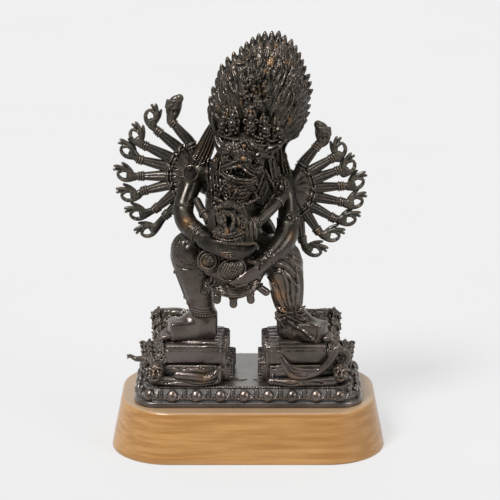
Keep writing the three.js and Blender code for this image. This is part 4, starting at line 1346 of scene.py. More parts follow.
def makeHead():
    # the buffalo head, turned a little, chin to the viewer's left
    lump((-4, -10, 305), (25.5, 24, 22), 4)
    lump((-6, -26, 303), (17, 14, 16), 3)
    lump((-5, -37, 302), (9, 11, 8), 3)
    lump((-9, -34, 294), (14, 11, 8), 2)
    # forehead: smooth planes with a crisp edge, the third eye between them
    lump((7.5, -30.5, 310), (9, 6.5, 6.5), 0.8, axes=axesFor((0.35, -1, 0.25)))
    lump((-19, -29, 310), (8, 6, 7), 0.8, axes=axesFor((-0.4, -1, 0.2)))
    lump((12, -31, 303.5), (6.5, 5, 4.2), 0.8)
    strand([(2, -38, 318, 0.9), (10, -35.5, 314.5, 1.2), (19, -29, 312.5, 1.2), (28, -20, 312, 0.9)])
    strand([(-1, -39.5, 309, 2.0), (5, -38.5, 306.5, 2.6), (12, -35, 304.5, 2.8), (19, -28, 303.5, 2.0)], 0.6)
    strand([(-7, -39.5, 308.5, 2.0), (-13, -39, 308, 2.6), (-21, -34.5, 307, 2.6), (-27, -27, 304, 1.6)], 0.6)
    for k in range(5):  # small flames of the eyebrows
        strand([(2 + 3.2 * k, -38.5 + 1.3 * k, 307.5 - 0.5 * k, 1.3),
                (4 + 3.5 * k, -37.5 + 1.7 * k, 312 - 0.8 * k, 0.5)], 0.3)
        strand([(-9 - 3 * k, -40 + 1.2 * k, 309 - 0.2 * k, 1.3),
                (-11 - 3.4 * k, -38 + 1.6 * k, 313.5 - 0.6 * k, 0.5)], 0.3)
    ring((-4, -37.5, 314.5), (0, -1, 0.25), 3.9, 1.1)
    ball((-4, -38.5, 314.5), 2.4)
    for k in range(7):
        turn = math.pi * k / 6
        ball((-4 + 5.6 * math.cos(turn), -36.6, 314.5 + 5.6 * math.sin(turn)), 1.0, 0.2)
    for side, at in ((-1, np.array((-19.0, -36.0, 301.5))), (1, np.array((8.5, -34.5, 298.0)))):
        facing = unit((side * 0.35, -1, 0))
        lump(at + (0, -0.5, 0), (6.2, 5, 4.6), 0.5, True)
        ball(at + (0, 2.6, 0), 3.9, 0.2)
        ring(at + (0, 0.6, 0), facing, 4.9, 0.95)
        ring(at + (0, 2.0, 0), facing, 7.0, 0.8)
        ball(at - (0, 1.2, 0), 1.1, 0.2, True)
        for k in range(3):  # wrinkles under the eye
            low = 8.0 + 2.1 * k
            strand([(at[0] - 6, at[1] + 2.5, at[2] - low + 2, 0.7), (at[0], at[1] - 0.4, at[2] - low, 0.8),
                    (at[0] + 6, at[1] + 2.5, at[2] - low + 2.5, 0.6)], 0.3)
    # nose with two nostrils, and folds across the bridge
    strand([(-4.5, -40, 310, 2.8), (-5, -44, 307, 3.0), (-4, -48, 303.5, 3.6)], 0.8)
    for x, y, z in ((-7.6, -47.5, 302.5), (0.6, -46.5, 301.8)):
        ball((x, y, z), 2.8, 0.4)
        ball((x + (0.6 if x > -4 else -0.6), y - 2.4, z - 1.2), 1.2, 0.2, True)
    for k in range(3):
        strand([(-10 + k, -41.5 - 1.4 * k, 308.5 - 2 * k, 0.6), (-4.6, -45 - 1.3 * k, 308.8 - 2.1 * k, 0.7),
                (1 - k, -42.5 - 1.4 * k, 307.4 - 2 * k, 0.6)], 0.3)
    # the open mouth, two lines of lip above and below it
    lump((-8, -46, 289.8), (10.5, 11, 5.4), 0.5, True, axes=axesFor((0, -1, 0), (0.1, 0, 1)))
    upper = [(-24, -36, 289, 0.8), (-19.5, -42, 292.5, 1.1), (-14, -47, 296, 1.3), (-8.5, -50, 298.6, 1.4),
             (-4, -49.5, 295.5, 1.3), (0, -46, 290, 1.2), (6, -39.5, 284.5, 0.9)]
    strand(upper)
    strand([(x * 1.05, y + 2.2, z + 3.0, 0.85) for x, y, z, _ in upper], 0.3)
    strand([(-25, -37, 289.5, 0.9), (-18, -43.5, 285.2, 1.2), (-8, -47, 282.8, 1.3), (0, -45.5, 282.6, 1.2),
            (7.5, -40, 283.5, 0.9)])
    strand([(-26.5, -35.5, 285.5, 0.8), (-18, -42.5, 281.2, 1.1), (-6.5, -46, 279.2, 1.2),
            (1, -44.5, 279, 1.1), (8.5, -38.5, 280, 0.8)])
    lump((-9, -32.5, 280.5), (14, 11, 5), 1.2)
    lump((-9, -40, 286), (5.5, 5.5, 2.2), 0.5)  # tongue
    for x, y, z, drop in ((-16, -44.5, 293.5, 5), (-12, -47, 295.5, 2.6), (-8.5, -48, 296.5, 2.6),
                          (-5, -47.5, 294.5, 2.6), (-2, -45.5, 291, 4.5)):
        strand([(x, y, z, 1.1), (x - 0.3, y - 0.4, z - drop, 0.4)], 0.2)
    for x, y, z in ((-15, -44.8, 284.8), (-10, -46.4, 283.8), (-5, -46, 283.4)):
        strand([(x, y, z, 1.1), (x, y, z + 2.8, 0.4)], 0.2)
    # ears: funnels with a rolled edge, the right one long and smooth like a leaf
    strand([(12, -26, 306, 5), (19, -23.5, 307.5, 7), (28, -18, 311, 5.6), (36.5, -13, 316, 1.6)], 0.6,
           thin=(0.3, -1, 0.25), ratio=0.4)
    strand([(16, -29, 304.5, 2.0), (22, -26.5, 306, 3.0), (29, -21, 309, 2.0), (35, -15.5, 313, 0.7)], 0.4,
           True)
    strand([(9, -31, 308, 1.0), (18, -28.5, 313.5, 1.3), (27, -21, 317.5, 1.3), (36.5, -13.5, 320, 0.9)])
    strand([(13, -29, 299, 0.9), (20, -26.5, 301, 1.2), (29, -19.5, 307.5, 1.2), (37, -13, 315, 0.9)])
    strand([(-25, -22, 306, 4.5), (-29, -17, 313, 4.5), (-32.5, -12, 322, 1.4)], 0.8, thin=(-0.5, -1, 0.2),
           ratio=0.45)
    strand([(-26, -25, 308, 1.8), (-29, -20.5, 313.5, 2.3), (-31.5, -15, 319, 0.9)], 0.4, True)
    strand([(-30, -20, 305, 0.9), (-33, -15, 313, 1.1), (-33, -12, 322, 0.8)])
    # horns
    strand([(26, -10, 312, 4), (34, -12, 317, 3.2), (37.5, -12, 325, 2.5), (37.5, -12, 334, 1.6),
            (39, -12, 341, 0.8)], 0.6)
    strand([(-26, -8, 315, 4), (-31, -11, 321, 3.0), (-33.5, -11.5, 330, 2.2), (-35, -11, 341, 0.9)], 0.6)


def makeBeard():
    rng = random.Random(17)
    lump((-10, -31, 272), (18, 9.5, 11), 3)
    for row in range(5):  # rows of small curls under the lip
        z = 276 - 4.2 * row
        count = 11 - row
        for k in range(count):
            t = (k + 0.5) / count * 2 - 1
            x = -9.5 - 0.6 * row + (18.5 - 1.8 * row) * t
            y = -41.5 + 8 * t * t + 0.4 * row
            lift = 2.4 * t * t
            ring((x, y, z + lift), (0.15 * t, -1, 0.1), 1.65, 0.8, 0.25)
            ball((x, y - 0.9 - 0.6 * rng.random(), z + lift - 1.2), 1.0, 0.25)
            ball((x, y - 1.2, z + lift + 0.1), 0.6, 0.15, True)
    # pointed leaf of the collar, hollow inside, and the long folds beside it
    strand([(16.5, -31, 288.5, 1.3), (11.5, -33, 276, 1.7), (6.5, -33.5, 264, 1.7), (2, -33, 252, 1.5)])
    strand([(16.5, -31, 288.5, 1.3), (21, -28.5, 278, 1.7), (25, -24, 269, 1.6), (28, -19, 261, 1.3)])
    strand([(10, -25, 258, 7), (16, -25, 271, 5), (17, -27, 283, 1.4)], 0.6, thin=(0, 1, 0), ratio=0.6)
    strand([(12.5, -31.5, 258, 3.4), (16, -30, 270, 3.0), (16.6, -30, 280, 1.0)], 0.5, True)
    for k in range(3):
        strand([(19 + 2.6 * k, -22 + 2.4 * k, 297 - k, 1.3), (22 + 2.6 * k, -20 + 2.4 * k, 281 - k, 1.5),
                (26 + 2.4 * k, -16 + 2.2 * k, 264, 1.2)])
    for k in range(4):
        strand([(-27 - 1.8 * k, -24 + 3.0 * k, 294 + k, 1.3), (-29 - 2.0 * k, -25 + 3.0 * k, 279, 1.5),
                (-28 - 2.2 * k, -24 + 2.8 * k, 262 - k, 1.4), (-29 - 2.2 * k, -22 + 2.6 * k, 248, 0.9)])
    for k in range(24):  # the garland of small beads below the beard
        t = k / 23 * 2 - 1
        ball((-11 + 21 * t, -43 + 9 * t * t, 261 - 5 * (1 - t * t)), 1.7, 0.25)
    # round fluted boss on one shoulder, a medallion on the other
    lump((-56.5, -12.5, 281), (6.6, 4.5, 8), 0.5)
    ring((-56.5, -14.5, 281), (-0.15, -1, 0.05), 7.2, 1.0)
    for k in range(5):
        x = -61 + 2.2 * k
        strand([(x, -17.2 + 0.35 * (k - 2) ** 2, 286.5, 0.55), (x, -17.6 + 0.35 * (k - 2) ** 2, 275.5, 0.55)],
               0.2, True)
    lump((32, -12.5, 267), (7.4, 4.5, 9), 0.5)
    for size, y in ((7.6, -14.5), (4.6, -16.6)):
        ring((32, y, 267), (0.1, -1, 0.05), size, 1.0)
    ball((32, -16.8, 267), 2.0, 0.2)
    for k in range(8):
        turn = k * math.pi / 4
        ball((32 + 6.2 * math.cos(turn), -16.2, 267 + 6.2 * math.sin(turn)), 1.1, 0.2)
    for k in range(9):  # cords that hang from the medallion along the arm
        strand([(26 - 1.6 * k, -20 - 1.5 * k, 262 - 2.0 * k, 0.9),
                (24 - 1.5 * k, -20 - 1.4 * k, 254 - 2.2 * k, 0.9)], 0.3)


def makeArms():
    strand(deity["rightArm"], 3)
    strand(deity["leftArm"], 3)

    def band(at, way, radius, rows=(-2.4, 0, 2.4)):
        at, way = np.array(at, float), unit(way)
        for row in rows:
            ring(at + row * way, way, radius, 0.85)
        for along in (rows[-1] + 1.9, rows[0] - 1.9):
            beads(at + along * way, way, radius + 0.3, 30, 0.85)

    band((-64, -18.5, 244.5), (-0.5, -4, -12), 9.9)
    band((-51, -40.5, 228.2), (11, -12, -6), 9.6, (-3, -0.6, 1.8, 4.0))
    band((39.2, -18.5, 231.5), (0, -5, -14), 10.5)
    band((21.5, -45.5, 205), (-13, -10, -10), 8.6)
    # flower boss on the left armlet
    lump((40.5, -26.5, 239), (4.8, 3, 4.4), 0.5)
    ring((40.5, -28.5, 239), (-0.1, -1, 0.1), 3.8, 0.9, 0.25)
    ball((40.5, -29.5, 239), 1.5, 0.25)
    lump((21, -54, 205.5), (3.6, 2.4, 3.4), 0.4)
    ring((21, -55.4, 205.5), (-0.2, -1, 0.1), 2.6, 0.7, 0.2)
    # left hand: palm under the cup and four long fingers
    strand([(15, -51, 200, 7.4), (7, -56, 195, 8.0), (0, -60, 191.5, 6.4)], 2, thin=(0.3, -1, 0.4), ratio=0.8)
    for k in range(4):
        strand([(8, -61.5 + 0.6 * k, 198.5 - 3.1 * k, 2.6), (-1, -65.5 + 1.0 * k, 194 - 3.0 * k, 2.5),
                (-10 + 1.0 * k, -68 + 1.6 * k, 188 - 2.4 * k, 2.1),
                (-17 + 2.2 * k, -67 + 2 * k, 184 - 1.8 * k, 1.2)], 0.5)
    strand([(12, -56, 200, 3.2), (6, -60, 203, 2.8), (0, -62, 205, 1.8)], 0.6)
    for k in range(3):  # creases of the bent wrist
        strand([(15 - 3 * k, -58 - 1.0 * k, 205 - 2 * k, 0.5),
                (14 - 3 * k, -59.5 - 1.0 * k, 197 - 2 * k, 0.6)], 0.3, True)


def makeHandHeld():
    # right hand, flat and long, with the crescent knife under it
    hand = [(-44, -57, 222, 5.5), (-37, -63, 222, 7.0), (-27, -67, 220, 8.2), (-15, -69, 217.5, 8.6),
            (-6, -69, 217.5, 7.0), (2, -69, 219.5, 4.2), (7, -68.5, 222, 2.2)]
    strand(hand, 1.2, thin=(0, -1, 0.15), ratio=0.5)
    strand([(-43, -60, 226, 1.4), (-30, -69, 227, 1.7), (-14, -72, 225.4, 1.5), (0, -72, 225.4, 1.5),
            (5.5, -70, 225.6, 1.6), (8.5, -68.5, 222.5, 1.4), (9.4, -68.2, 218.5, 0.8)])
    for k in range(6):  # engraved lines run the length of it
        low = 224 - 2.3 * k
        strand([(-39 + 3 * k, -69.0, low - 0.5, 0.4), (-26 + 2 * k, -72.2, low - 1.6, 0.7),
                (-12, -73.5, low - 1.8 + 0.3 * k, 0.7), (0 - 1.5 * k, -73, low - 0.4 + 0.4 * k, 0.4)], 0.25,
               True)
    for k in range(3):
        strand([(-11 + 3 * k, -73, 224.5, 0.4), (-12 + 3 * k, -73.5, 213, 0.6)], 0.3, True)
    # the skull cup, tipped, with a rolled rim and a hatched side
    axes = axesFor((0, -1, 0), (-0.42, 0, 1))
    lump((-16, -60, 197.5), (15, 10, 11.5), 1.2, axes=axes)
    rim = []
    for k in range(13):
        turn = 2 * math.pi * k / 12
        spot = placer((-16, -61, 197.5), axes)(14.2 * math.cos(turn), 5.4, 10.6 * math.sin(turn))
        rim.append((*spot, 0.6))
    strand(rim, steps=2)
    right, _, up = axes

    def hatch(x, y, z):
        a = x * right[0] + z * right[2]
        b = x * up[0] + z * up[2]
        return np.sin((a + 1.1 * b) * 1.9) + 0.3 * np.sin((a - b) * 1.6)

    engrave((-16, -66, 197.5), (12.5, 12, 9.5), 0.55, hatch, 6)


def makeApron():
    lump((-12, -27, 186), (25, 22, 15), 4)
    for k in range(7):  # slung cloth in layers, each sweep a little lower
        low, out = 175 - 1.4 * k, -43 - 0.9 * k
        top = 190 - 2.6 * k
        strand([(-42 + 1.4 * k, -38, top, 2.2), (-30, out + 1, low + 4.5, 3.2), (-13, out - 2, low, 3.6),
                (3, out + 1, low + 4, 3.2), (17 - 1.4 * k, -36, top - 1, 2.2)], 0.5)
        strand([(-39 + 1.2 * k, -41.5, top - 2, 0.7), (-28.5, out - 2.8, low + 2.4, 0.9),
                (-13, out - 5.8, low - 2.0, 0.9), (2, out - 2.8, low + 2, 0.9),
                (14 - 1.2 * k, -40, top - 3, 0.7)], 0.3, True)
    for x, y, z, slant in ((-40, -44, 173.5, -2.5), (-30, -46, 165, -0.6), (-14.5, -47, 161, 0),
                           (2, -46, 165, 0.6), (11.5, -42, 172, 6)):
        strand([(x - slant * 0.8, y + 1, z + 5, 3.4), (x, y, z, 3.8), (x + slant, y - 0.5, z - 4.5, 4.0)],
               0.7)
        ring((x, y, z + 1), (-slant * 0.2, 0, 1), 4.0, 0.75)
        ring((x - slant * 0.3, y, z + 3), (-slant * 0.2, 0, 1), 3.9, 0.6)
    for k in range(6):  # folds along the hem
        arc = [(210 + 1.5 * k, 277 + 2.6 * k, 0.9), (222, 284 + 2.3 * k, 1.1), (236, 286.5 + 2 * k, 1.2),
               (250, 283.5 + 2.2 * k, 1.1), (262 - 1.5 * k, 277.5 + 2.6 * k, 0.9)]
        laid(arc, 0.9)
        laid([(u, v + 1.2, r * 0.6) for u, v, r in arc], 0.3, cut=True)
    # cords crossing beside the apron, with tasselled ends
    for k in range(4):
        strand([(-39 + 3.2 * k, -44 - k, 190 - 1.5 * k, 1.2), (-36 + 3.6 * k, -46 - k, 182 - 1.5 * k, 1.4),
                (-42 + 3.4 * k, -46 - k, 172 - 1.0 * k, 1.3)])
    for k in range(12):  # border of beads at the waist
        t = k / 11 * 2 - 1
        ball((-12 + 26 * t, -45.5 + 6 * t * t, 188 + 2 * t * t), 1.8)
    girdle((-10.0, 0.0, 198.0), 38, 76, 1.5)


def makeDeity():
    s = deity
    newWax(s["low"], s["high"], s["voxel"])
    for stage in (makeLegs, makeTrunk, makeHide, makeHair, makeHead, makeBeard, roughSkin, makeCrown,
                  makeFaceLines, makeArms, makeHandHeld, makeApron):
        stage()
        report(stage.__name__)
    # clear air between the hair and the fan of arms
    for u, v, r in ((310, 146, 14), (302, 149, 12), (296, 149, 9.5), (291.5, 150, 6), (292.5, 158, 5)):
        bored(u, v, r)
    levelOff(s["sole"])
    warm = [  # in the picture: u, v, radius in mm, strength
        (187, 222, 9, 0.3), (292, 236, 8, 0.15), (244, 146, 5, 0.3), (243, 158, 5, 0.4), (239, 165, 3, 0.6),
        (248, 57, 4, 0.35), (234, 62, 4, 0.3), (270, 62, 6, 0.5), (266, 70, 4, 0.4), (258, 92, 6, 0.4),
        (262, 97, 4, 0.3), (219, 107, 3, 0.4), (232, 108, 3, 0.4), (251, 111, 4, 0.5), (287, 63, 4, 0.35),
        (290, 120, 4, 0.5), (278, 296, 12, 0.5), (275, 283, 9, 0.35), (284, 311, 7, 0.4), (246, 200, 4, 0.5),
        (205, 150, 12, 0.12), (284, 160, 10, 0.12), (264, 84, 4, 0.3), (242, 102, 4, 0.25),
        (275, 46, 4, 0.25), (233, 52, 4, 0.25),
    ]
    warm = [(seenAt(u, v), r, strength) for u, v, r, strength in warm]
    warm = [(*spot, r, strength) for spot, r, strength in warm if spot is not None]
    dusty = [  # x, y, z, radius, strength; below nought wipes clean
        (12, -20, 362, 60, 0.46), (-9, -40, 272, 24, 0.75), (0, -36, 326, 26, 0.45), (-8, -40, 300, 20, 0.5),
        (-12, -50, 175, 24, 0.45), (40, -42, 195, 16, 0.3), (-16, -70, 197, 13, 0.8),
        (-40, -20, 260, 20, 0.5), (24, -24, 262, 18, 0.5), (12, 38, 360, 60, 0.3), (0, 32, 250, 60, 0.4),
        (14, 12, 224, 16, 0.7), (16, -30, 356, 30, 0.42), (24, -33, 309, 15, -1), (8, -40, 306, 11, -0.9),
        (-20, -42, 304, 5, -1), (34, -28, 316, 12, -1),
    ]
    return cast("buffalo_headed_figure", s["mostFaces"], warm, dusty)


# The consort

consort = {"low": (-56, -84, 172), "high": (56, -12, 276), "voxel": 0.6, "mostFaces": 90000}


def makeConsort():
    newWax(consort["low"], consort["high"], consort["voxel"])
    body = [(-16, -50, 250, 11), (-16, -49, 234, 12), (-17, -47, 214, 15), (-20, -44, 198, 18),
            (-22, -42, 188, 15)]
    strand(body, 2, thin=(0, 1, 0), ratio=0.65)
    # head thrown back
    lump((-18, -57, 251.5), (13.5, 12, 13), 2)
    lump((-19, -62, 256), (12, 8.5, 8), 1.2)
    lump((-19.5, -69.5, 263.5), (4.5, 3, 4.0), 0.6)
    for x, tilt in ((-26, -1), (-13, 1)):
        lump((x, -68.5, 261), (4.2, 3, 2.8), 0.7)
        strand([(x - tilt * 4.5, -70, 257.8, 1.0), (x, -71.8, 258.6, 1.3), (x + tilt * 5.5, -68, 260.5, 0.9)],
               0.5)
    # dark slit below the brow, and the eyes
    strand([(-29.5, -68, 256.2, 1.3), (-20, -71.5, 255.8, 1.5), (-11, -68.5, 256.6, 1.3)], 0.4, True)
    for x in (-26.5, -12.5):
        ball((x, -67.5, 254.5), 2.4, 0.4)
        ring((x, -69, 254.2), (0, -1, 0.1), 2.9, 0.8)
    # nose, the open mouth to one side, ridges beside it
    strand([(-22, -68, 257, 2.0), (-24, -71, 251.5, 2.6), (-25, -73, 248, 3.2)], 0.8)
    ball((-28, -71.5, 248.5), 2.0, 0.4)
    strand([(-24.5, -73, 249.5, 1.2), (-22, -75, 244, 1.3), (-20, -75.5, 239.5, 1.2),
            (-20.5, -74.5, 236, 0.9)], 0.5)
    strand([(-31, -69, 247, 1.2), (-33, -70, 243, 1.3), (-34.5, -69.5, 239.5, 1.3)], 0.5)
    lump((-18.3, -70, 246.5), (3.3, 8, 5.4), 0.6, True)
    lump((-9.5, -64, 249), (6.0, 6, 7.5), 1.2)
    strand([(-15, -71, 252.5, 1.2), (-13.8, -72, 246, 1.4), (-17, -73, 239.5, 1.3)], 0.5)
    # jaw, teeth and the garland of beads below
    lump((-19, -63, 237), (13.5, 9, 6.0))
    for k in range(6):
        strand([(-27 + 2.6 * k, -73.4 + 0.25 * (k - 2.5) ** 2, 237.6, 1.1),
                (-27 + 2.6 * k, -73.6 + 0.25 * (k - 2.5) ** 2, 234.6, 0.9)], 0.3)
    for z, count, wide in ((232.5, 13, 15.5), (228.8, 12, 14.5), (225.4, 10, 12)):
        for k in range(count):
            t = (k + 0.5) / count * 2 - 1
            ball((-19 + wide * t, -71 + 7 * t * t, z + 3 * t * t), 1.7, 0.4)
            ball((-19 + wide * t + 0.9, -72 + 7 * t * t, z + 3 * t * t + 1.6), 0.9, 0.3, True)
    crust((-19, -66, 250), (24, 16, 28), 0.5, 2.3, 2)
    for u, v, r in ((216, 204, 3.0), (222, 200.5, 3.2), (229, 199, 3.4), (236, 200.5, 3.2), (242, 205, 3.0)):
        touch(u + 3.4, v - 0.5, 2.4, 1.0, True)
        touch(u + 3.2, v - 4.0, 2.0, 1.0, True)
        touch(u, v, r + 0.3, 2.0, blend=0.3)
        touch(u - 1.2, v + 1, 0.9, 2.4, True)
        touch(u + 1.5, v + 1, 0.9, 2.4, True)
    laid([(212, 213.5, 1.5), (219, 210.4, 2.0), (226, 209.4, 2.0), (234, 210, 2.0), (241, 213.5, 1.5)], 0.4,
         cut=True)
    for u, v, r in ((214, 211, 1.8), (222, 212, 1.6), (237, 213, 2.2), (241, 219, 1.8), (213, 219, 1.6),
                    (240, 226, 1.6), (220, 230, 1.2), (234, 231, 1.4), (226, 233, 1.0), (217, 226, 1.3),
                    (233, 222, 1.2)):
        touch(u, v, r, 0.4, True)
    for run in ([(211, 222, 1.0), (214, 216, 1.1), (217, 213, 0.8)],
                [(223, 213, 1.0), (225, 219, 1.1), (226, 225, 0.9)],
                [(231, 213, 1.0), (234, 219, 1.2), (232, 225, 1.0)],
                [(237, 216, 1.0), (239, 223, 1.2), (237, 229, 1.0)],
                [(214, 231, 1.0), (221, 234, 1.1), (229, 234.5, 1.1), (236, 232, 1.0)]):
        laid(run, 0.8)
    # her own crown and loosened hair behind the head
    for side in (-1, 1):
        for k in range(4):
            x = -18 + side * (13 + 1.6 * k)
            strand([(x, -56 + 2 * k, 258 - 3 * k, 1.8), (x + side * 2, -55 + 2 * k, 250 - 3 * k, 2.0),
                    (x + side * 0.5, -55 + 2 * k, 238 - 3 * k, 1.4)], 0.6)
    # arms round his neck, with beaded bracelets
    right = [(-26, -52, 236, 5), (-33, -47, 239, 4.6), (-43, -38, 246, 4.2), (-50, -27, 256, 4.0)]
    left = [(-8, -54, 238, 6), (3, -52, 239, 5.2), (12, -47.5, 242.5, 4.8), (24, -37, 251, 4.5),
            (36, -24, 261, 4.2)]
    strand(right, 1.5)
    strand(left, 1.5)
    for path, where in ((left, (0.32, 0.42, 0.9)), (right, (0.55, 0.7))):
        run = smoothRun(path, 10)
        for share in where:
            k = int(share * (len(run) - 2))
            way = run[k + 1][:3] - run[k][:3]
            beads(run[k][:3], way, run[k][3] + 0.4, 14, 1.25)
            ring(run[k][:3] + 2.2 * unit(way), way, run[k][3] + 0.1, 0.8)
    curls = ((-8, -66, 236), (-5, -67, 242), (-3.5, -66, 247), (6, -62, 235), (1, -60, 250))
    for k, (x, y, z) in enumerate(curls):
        ring((x, y, z), (0.2, -1, 0.2 * k), 1.8, 0.9)
    # sash ends hanging at her side
    for x, low in ((-1.5, 229), (2.8, 228), (7.0, 229.5)):
        strand([(x - 0.6, -61, 243, 1.0), (x, -63, 236, 2.2), (x + 0.4, -62.5, low, 1.9),
                (x + 0.5, -61.5, low - 2.5, 0.8)], 0.6)
        strand([(x - 0.6, -65.2, 240, 0.4), (x + 0.2, -65.6, low + 1, 0.6)], 0.3, True)
    # bent knee with its boss: ringed, an eyelike pyramid in the middle
    knee = np.array((-38.5, -51.0, 204.0))
    lump(knee, (11, 8.5, 11))
    strand([(-36, -46, 206, 9), (-30, -44, 190, 9)], 2)
    for size, thick in ((10.4, 0.9), (7.6, 0.8)):
        ring(knee + (0, -5.5 if size > 9 else -7.4, 0), (0.05, -1, 0.1), size, thick, 0.4)
    apex = knee + (2.0, -10.2, 2.5)
    strand([(*(apex + (0, 0, 2.6)), 1.0), (*(apex + (-2.6, 0.6, -1.8)), 1.0),
            (*(apex + (2.6, 0.4, -1.8)), 1.0), (*(apex + (0, 0, 2.6)), 1.0)], steps=1)
    ball(apex + (0, -0.4, -0.4), 1.0, 0.2, True)
    for k in range(3):
        strand([(-46 + 2 * k, -57 - k, 199 - 2.5 * k, 1.0), (-38, -60.5, 196.5 - 2.5 * k, 1.2),
                (-30 + k, -57, 199 - 2.5 * k, 1.0)], 0.5)
    warm = [(-33, -70, 242, 5, 0.7), (-20, -76, 239, 3.5, 0.8), (-44, -58, 202, 5, 0.35),
            (-26, -71, 257, 3, 0.4), (5, -50, 246, 4, 0.2), (-8, -67, 238, 4, 0.3)]
    dusty = [(-18, -68, 250, 26, 0.85), (-39, -56, 204, 14, 0.6), (0, -60, 238, 14, 0.5),
             (20, -45, 248, 12, 0.3)]
    return cast("embracing_consort", consort["mostFaces"], warm, dusty)


# The two fans of extra arms

fans = {
    "voxel": 0.6, "mostFaces": 95000,
    "right": {
        "root": (-44, 14, 270),
        "arms": [  # x, z of the elbow, the wrist and the middle of the hand; way of the fingers in degrees
            ((-57, 304), (-76, 326), (-73, 341), 78), ((-69, 299), (-90, 316), (-96.5, 330.5), 97),
            ((-76, 289), (-104, 302), (-111.5, 311.5), 118), ((-79, 280), (-109, 287), (-120, 295.5), 148),
            ((-80, 271), (-108, 270), (-123, 271.5), 166), ((-78, 262), (-105, 254.5), (-119.5, 250), 178),
            ((-73, 253), (-93, 236), (-111, 231), 183), ((-66, 246), (-83, 229), (-100.5, 213), 204),
        ],
    },
    "left": {
        "root": (42, 14, 260),
        "arms": [
            ((54, 283), (69, 301.5), (73.5, 314), 96), ((61, 275), (85, 289), (91.5, 297), 76),
            ((65, 267), (91, 276.5), (100.5, 280), 54), ((66, 258.5), (94, 259.5), (108.5, 263), 26),
            ((65, 250), (95, 243), (107.5, 243.5), 16), ((61, 241), (86, 226), (100.5, 225), 4),
            ((56, 235), (70.5, 212.5), (84.5, 208.5), -2), ((50, 231), (54.5, 203), (66.5, 192.5), -16),
        ],
    },
}


def onHand(middle, angle, away):
    # gives places on a hand: along it, across towards the thumb, and out to the front
    ahead = np.array([math.cos(angle), -0.05, math.sin(angle)])
    across = np.array([-math.sin(angle), 0, math.cos(angle)]) * away
    front = np.array([0, -1.0, 0])
    return lambda d, s, n=0.0: np.array(middle) + d * ahead + s * across + n * front


fingers = (  # thumb, first finger closing the loop with it, and three spread; each with its blend
    ([(-7, 2.8, 2.8), (-2.5, 4.8, 2.3), (2, 4.8, 2.0), (5.2, 3.0, 1.9), (7, 1.0, 1.4)], 0.5),
    ([(-6, -3, 3.0), (-1.5, -4.6, 2.3), (2.6, -4.4, 2.0), (5.8, -2.2, 1.9), (7.2, 0, 1.5)], 0.5),
    ([(-3, -4.8, 0.5, 2.4), (3.5, -7.0, 0.8, 2.0), (10, -7.2, 0.6, 1.7), (12, -6.8, 0.4, 1.3)], 0.4),
    ([(2.5, -4.8, -1, 2.0), (7, -4.6, -1.4, 1.8), (11.5, -2.8, -1.2, 1.5)], 0.4),
    ([(-5, -5, -1.0, 2.4), (-0.5, -8.6, -1.6, 2.0), (5, -11, -1.6, 1.5)], 0.4),
)


def fanHand(wrist, loop, angle, away):
    at = onHand(loop, angle, away)
    heel = at(-8.5, -0.2)
    palm = [(*wrist, 3.4), (*((np.array(wrist) + heel) / 2), 3.9), (*heel, 4.6), (*at(-5.8, -0.6), 4.6)]
    strand(palm, 1.0, thin=(0, 1, 0), ratio=0.85)
    for finger, blend in fingers:
        strand(runAt(at, finger), blend)
    for along, across in ((-1.5, -4.6), (2.6, -4.4), (2.0, 4.8), (3.5, -7.0)):  # knuckles
        ball(at(along, across, 1.6), 1.5, 0.4)
    strand(runAt(at, [(-8, -1.5, 4.2, 0.4), (-3, -3.6, 4.0, 0.5)]), 0.3, True)


def topHand(wrist, middle, angle, away):
    # the closed hand of the topmost arm, its finger ends folded over
    at = onHand(middle, angle, away)
    palm = [(*wrist, 4.0)] + runAt(at, [(-7, 0, 6.4), (0, 0, 7.4), (5, -0.6, 6.4), (9, -2.4, 4.0)])
    strand(palm, 1.0, thin=(0, 1, 0), ratio=0.7)
    lump(at(9.5, -3.6, 0.5), (4.0, 3.6, 4.4), 0.8)
    for k in range(4):  # folded fingers
        low = 2.2 * k
        strand(runAt(at, [(7.5 - low, -5.5 + 0.6 * k, 3.0, 1.7), (6.8 - low, -1, 5.4, 1.8),
                          (5.6 - low, 4.4, 4.0, 1.7), (5.0 - low, 7.8, 1.5, 1.5)]), 0.35)
    strand(runAt(at, [(-7, 4.5, 2.5, 2.2), (-1, 6.0, 4.5, 2.0), (3, 2.5, 6.2, 1.6)]))
    ball(at(-4.5, -0.5, 5.4), 1.9, 0.3, True)


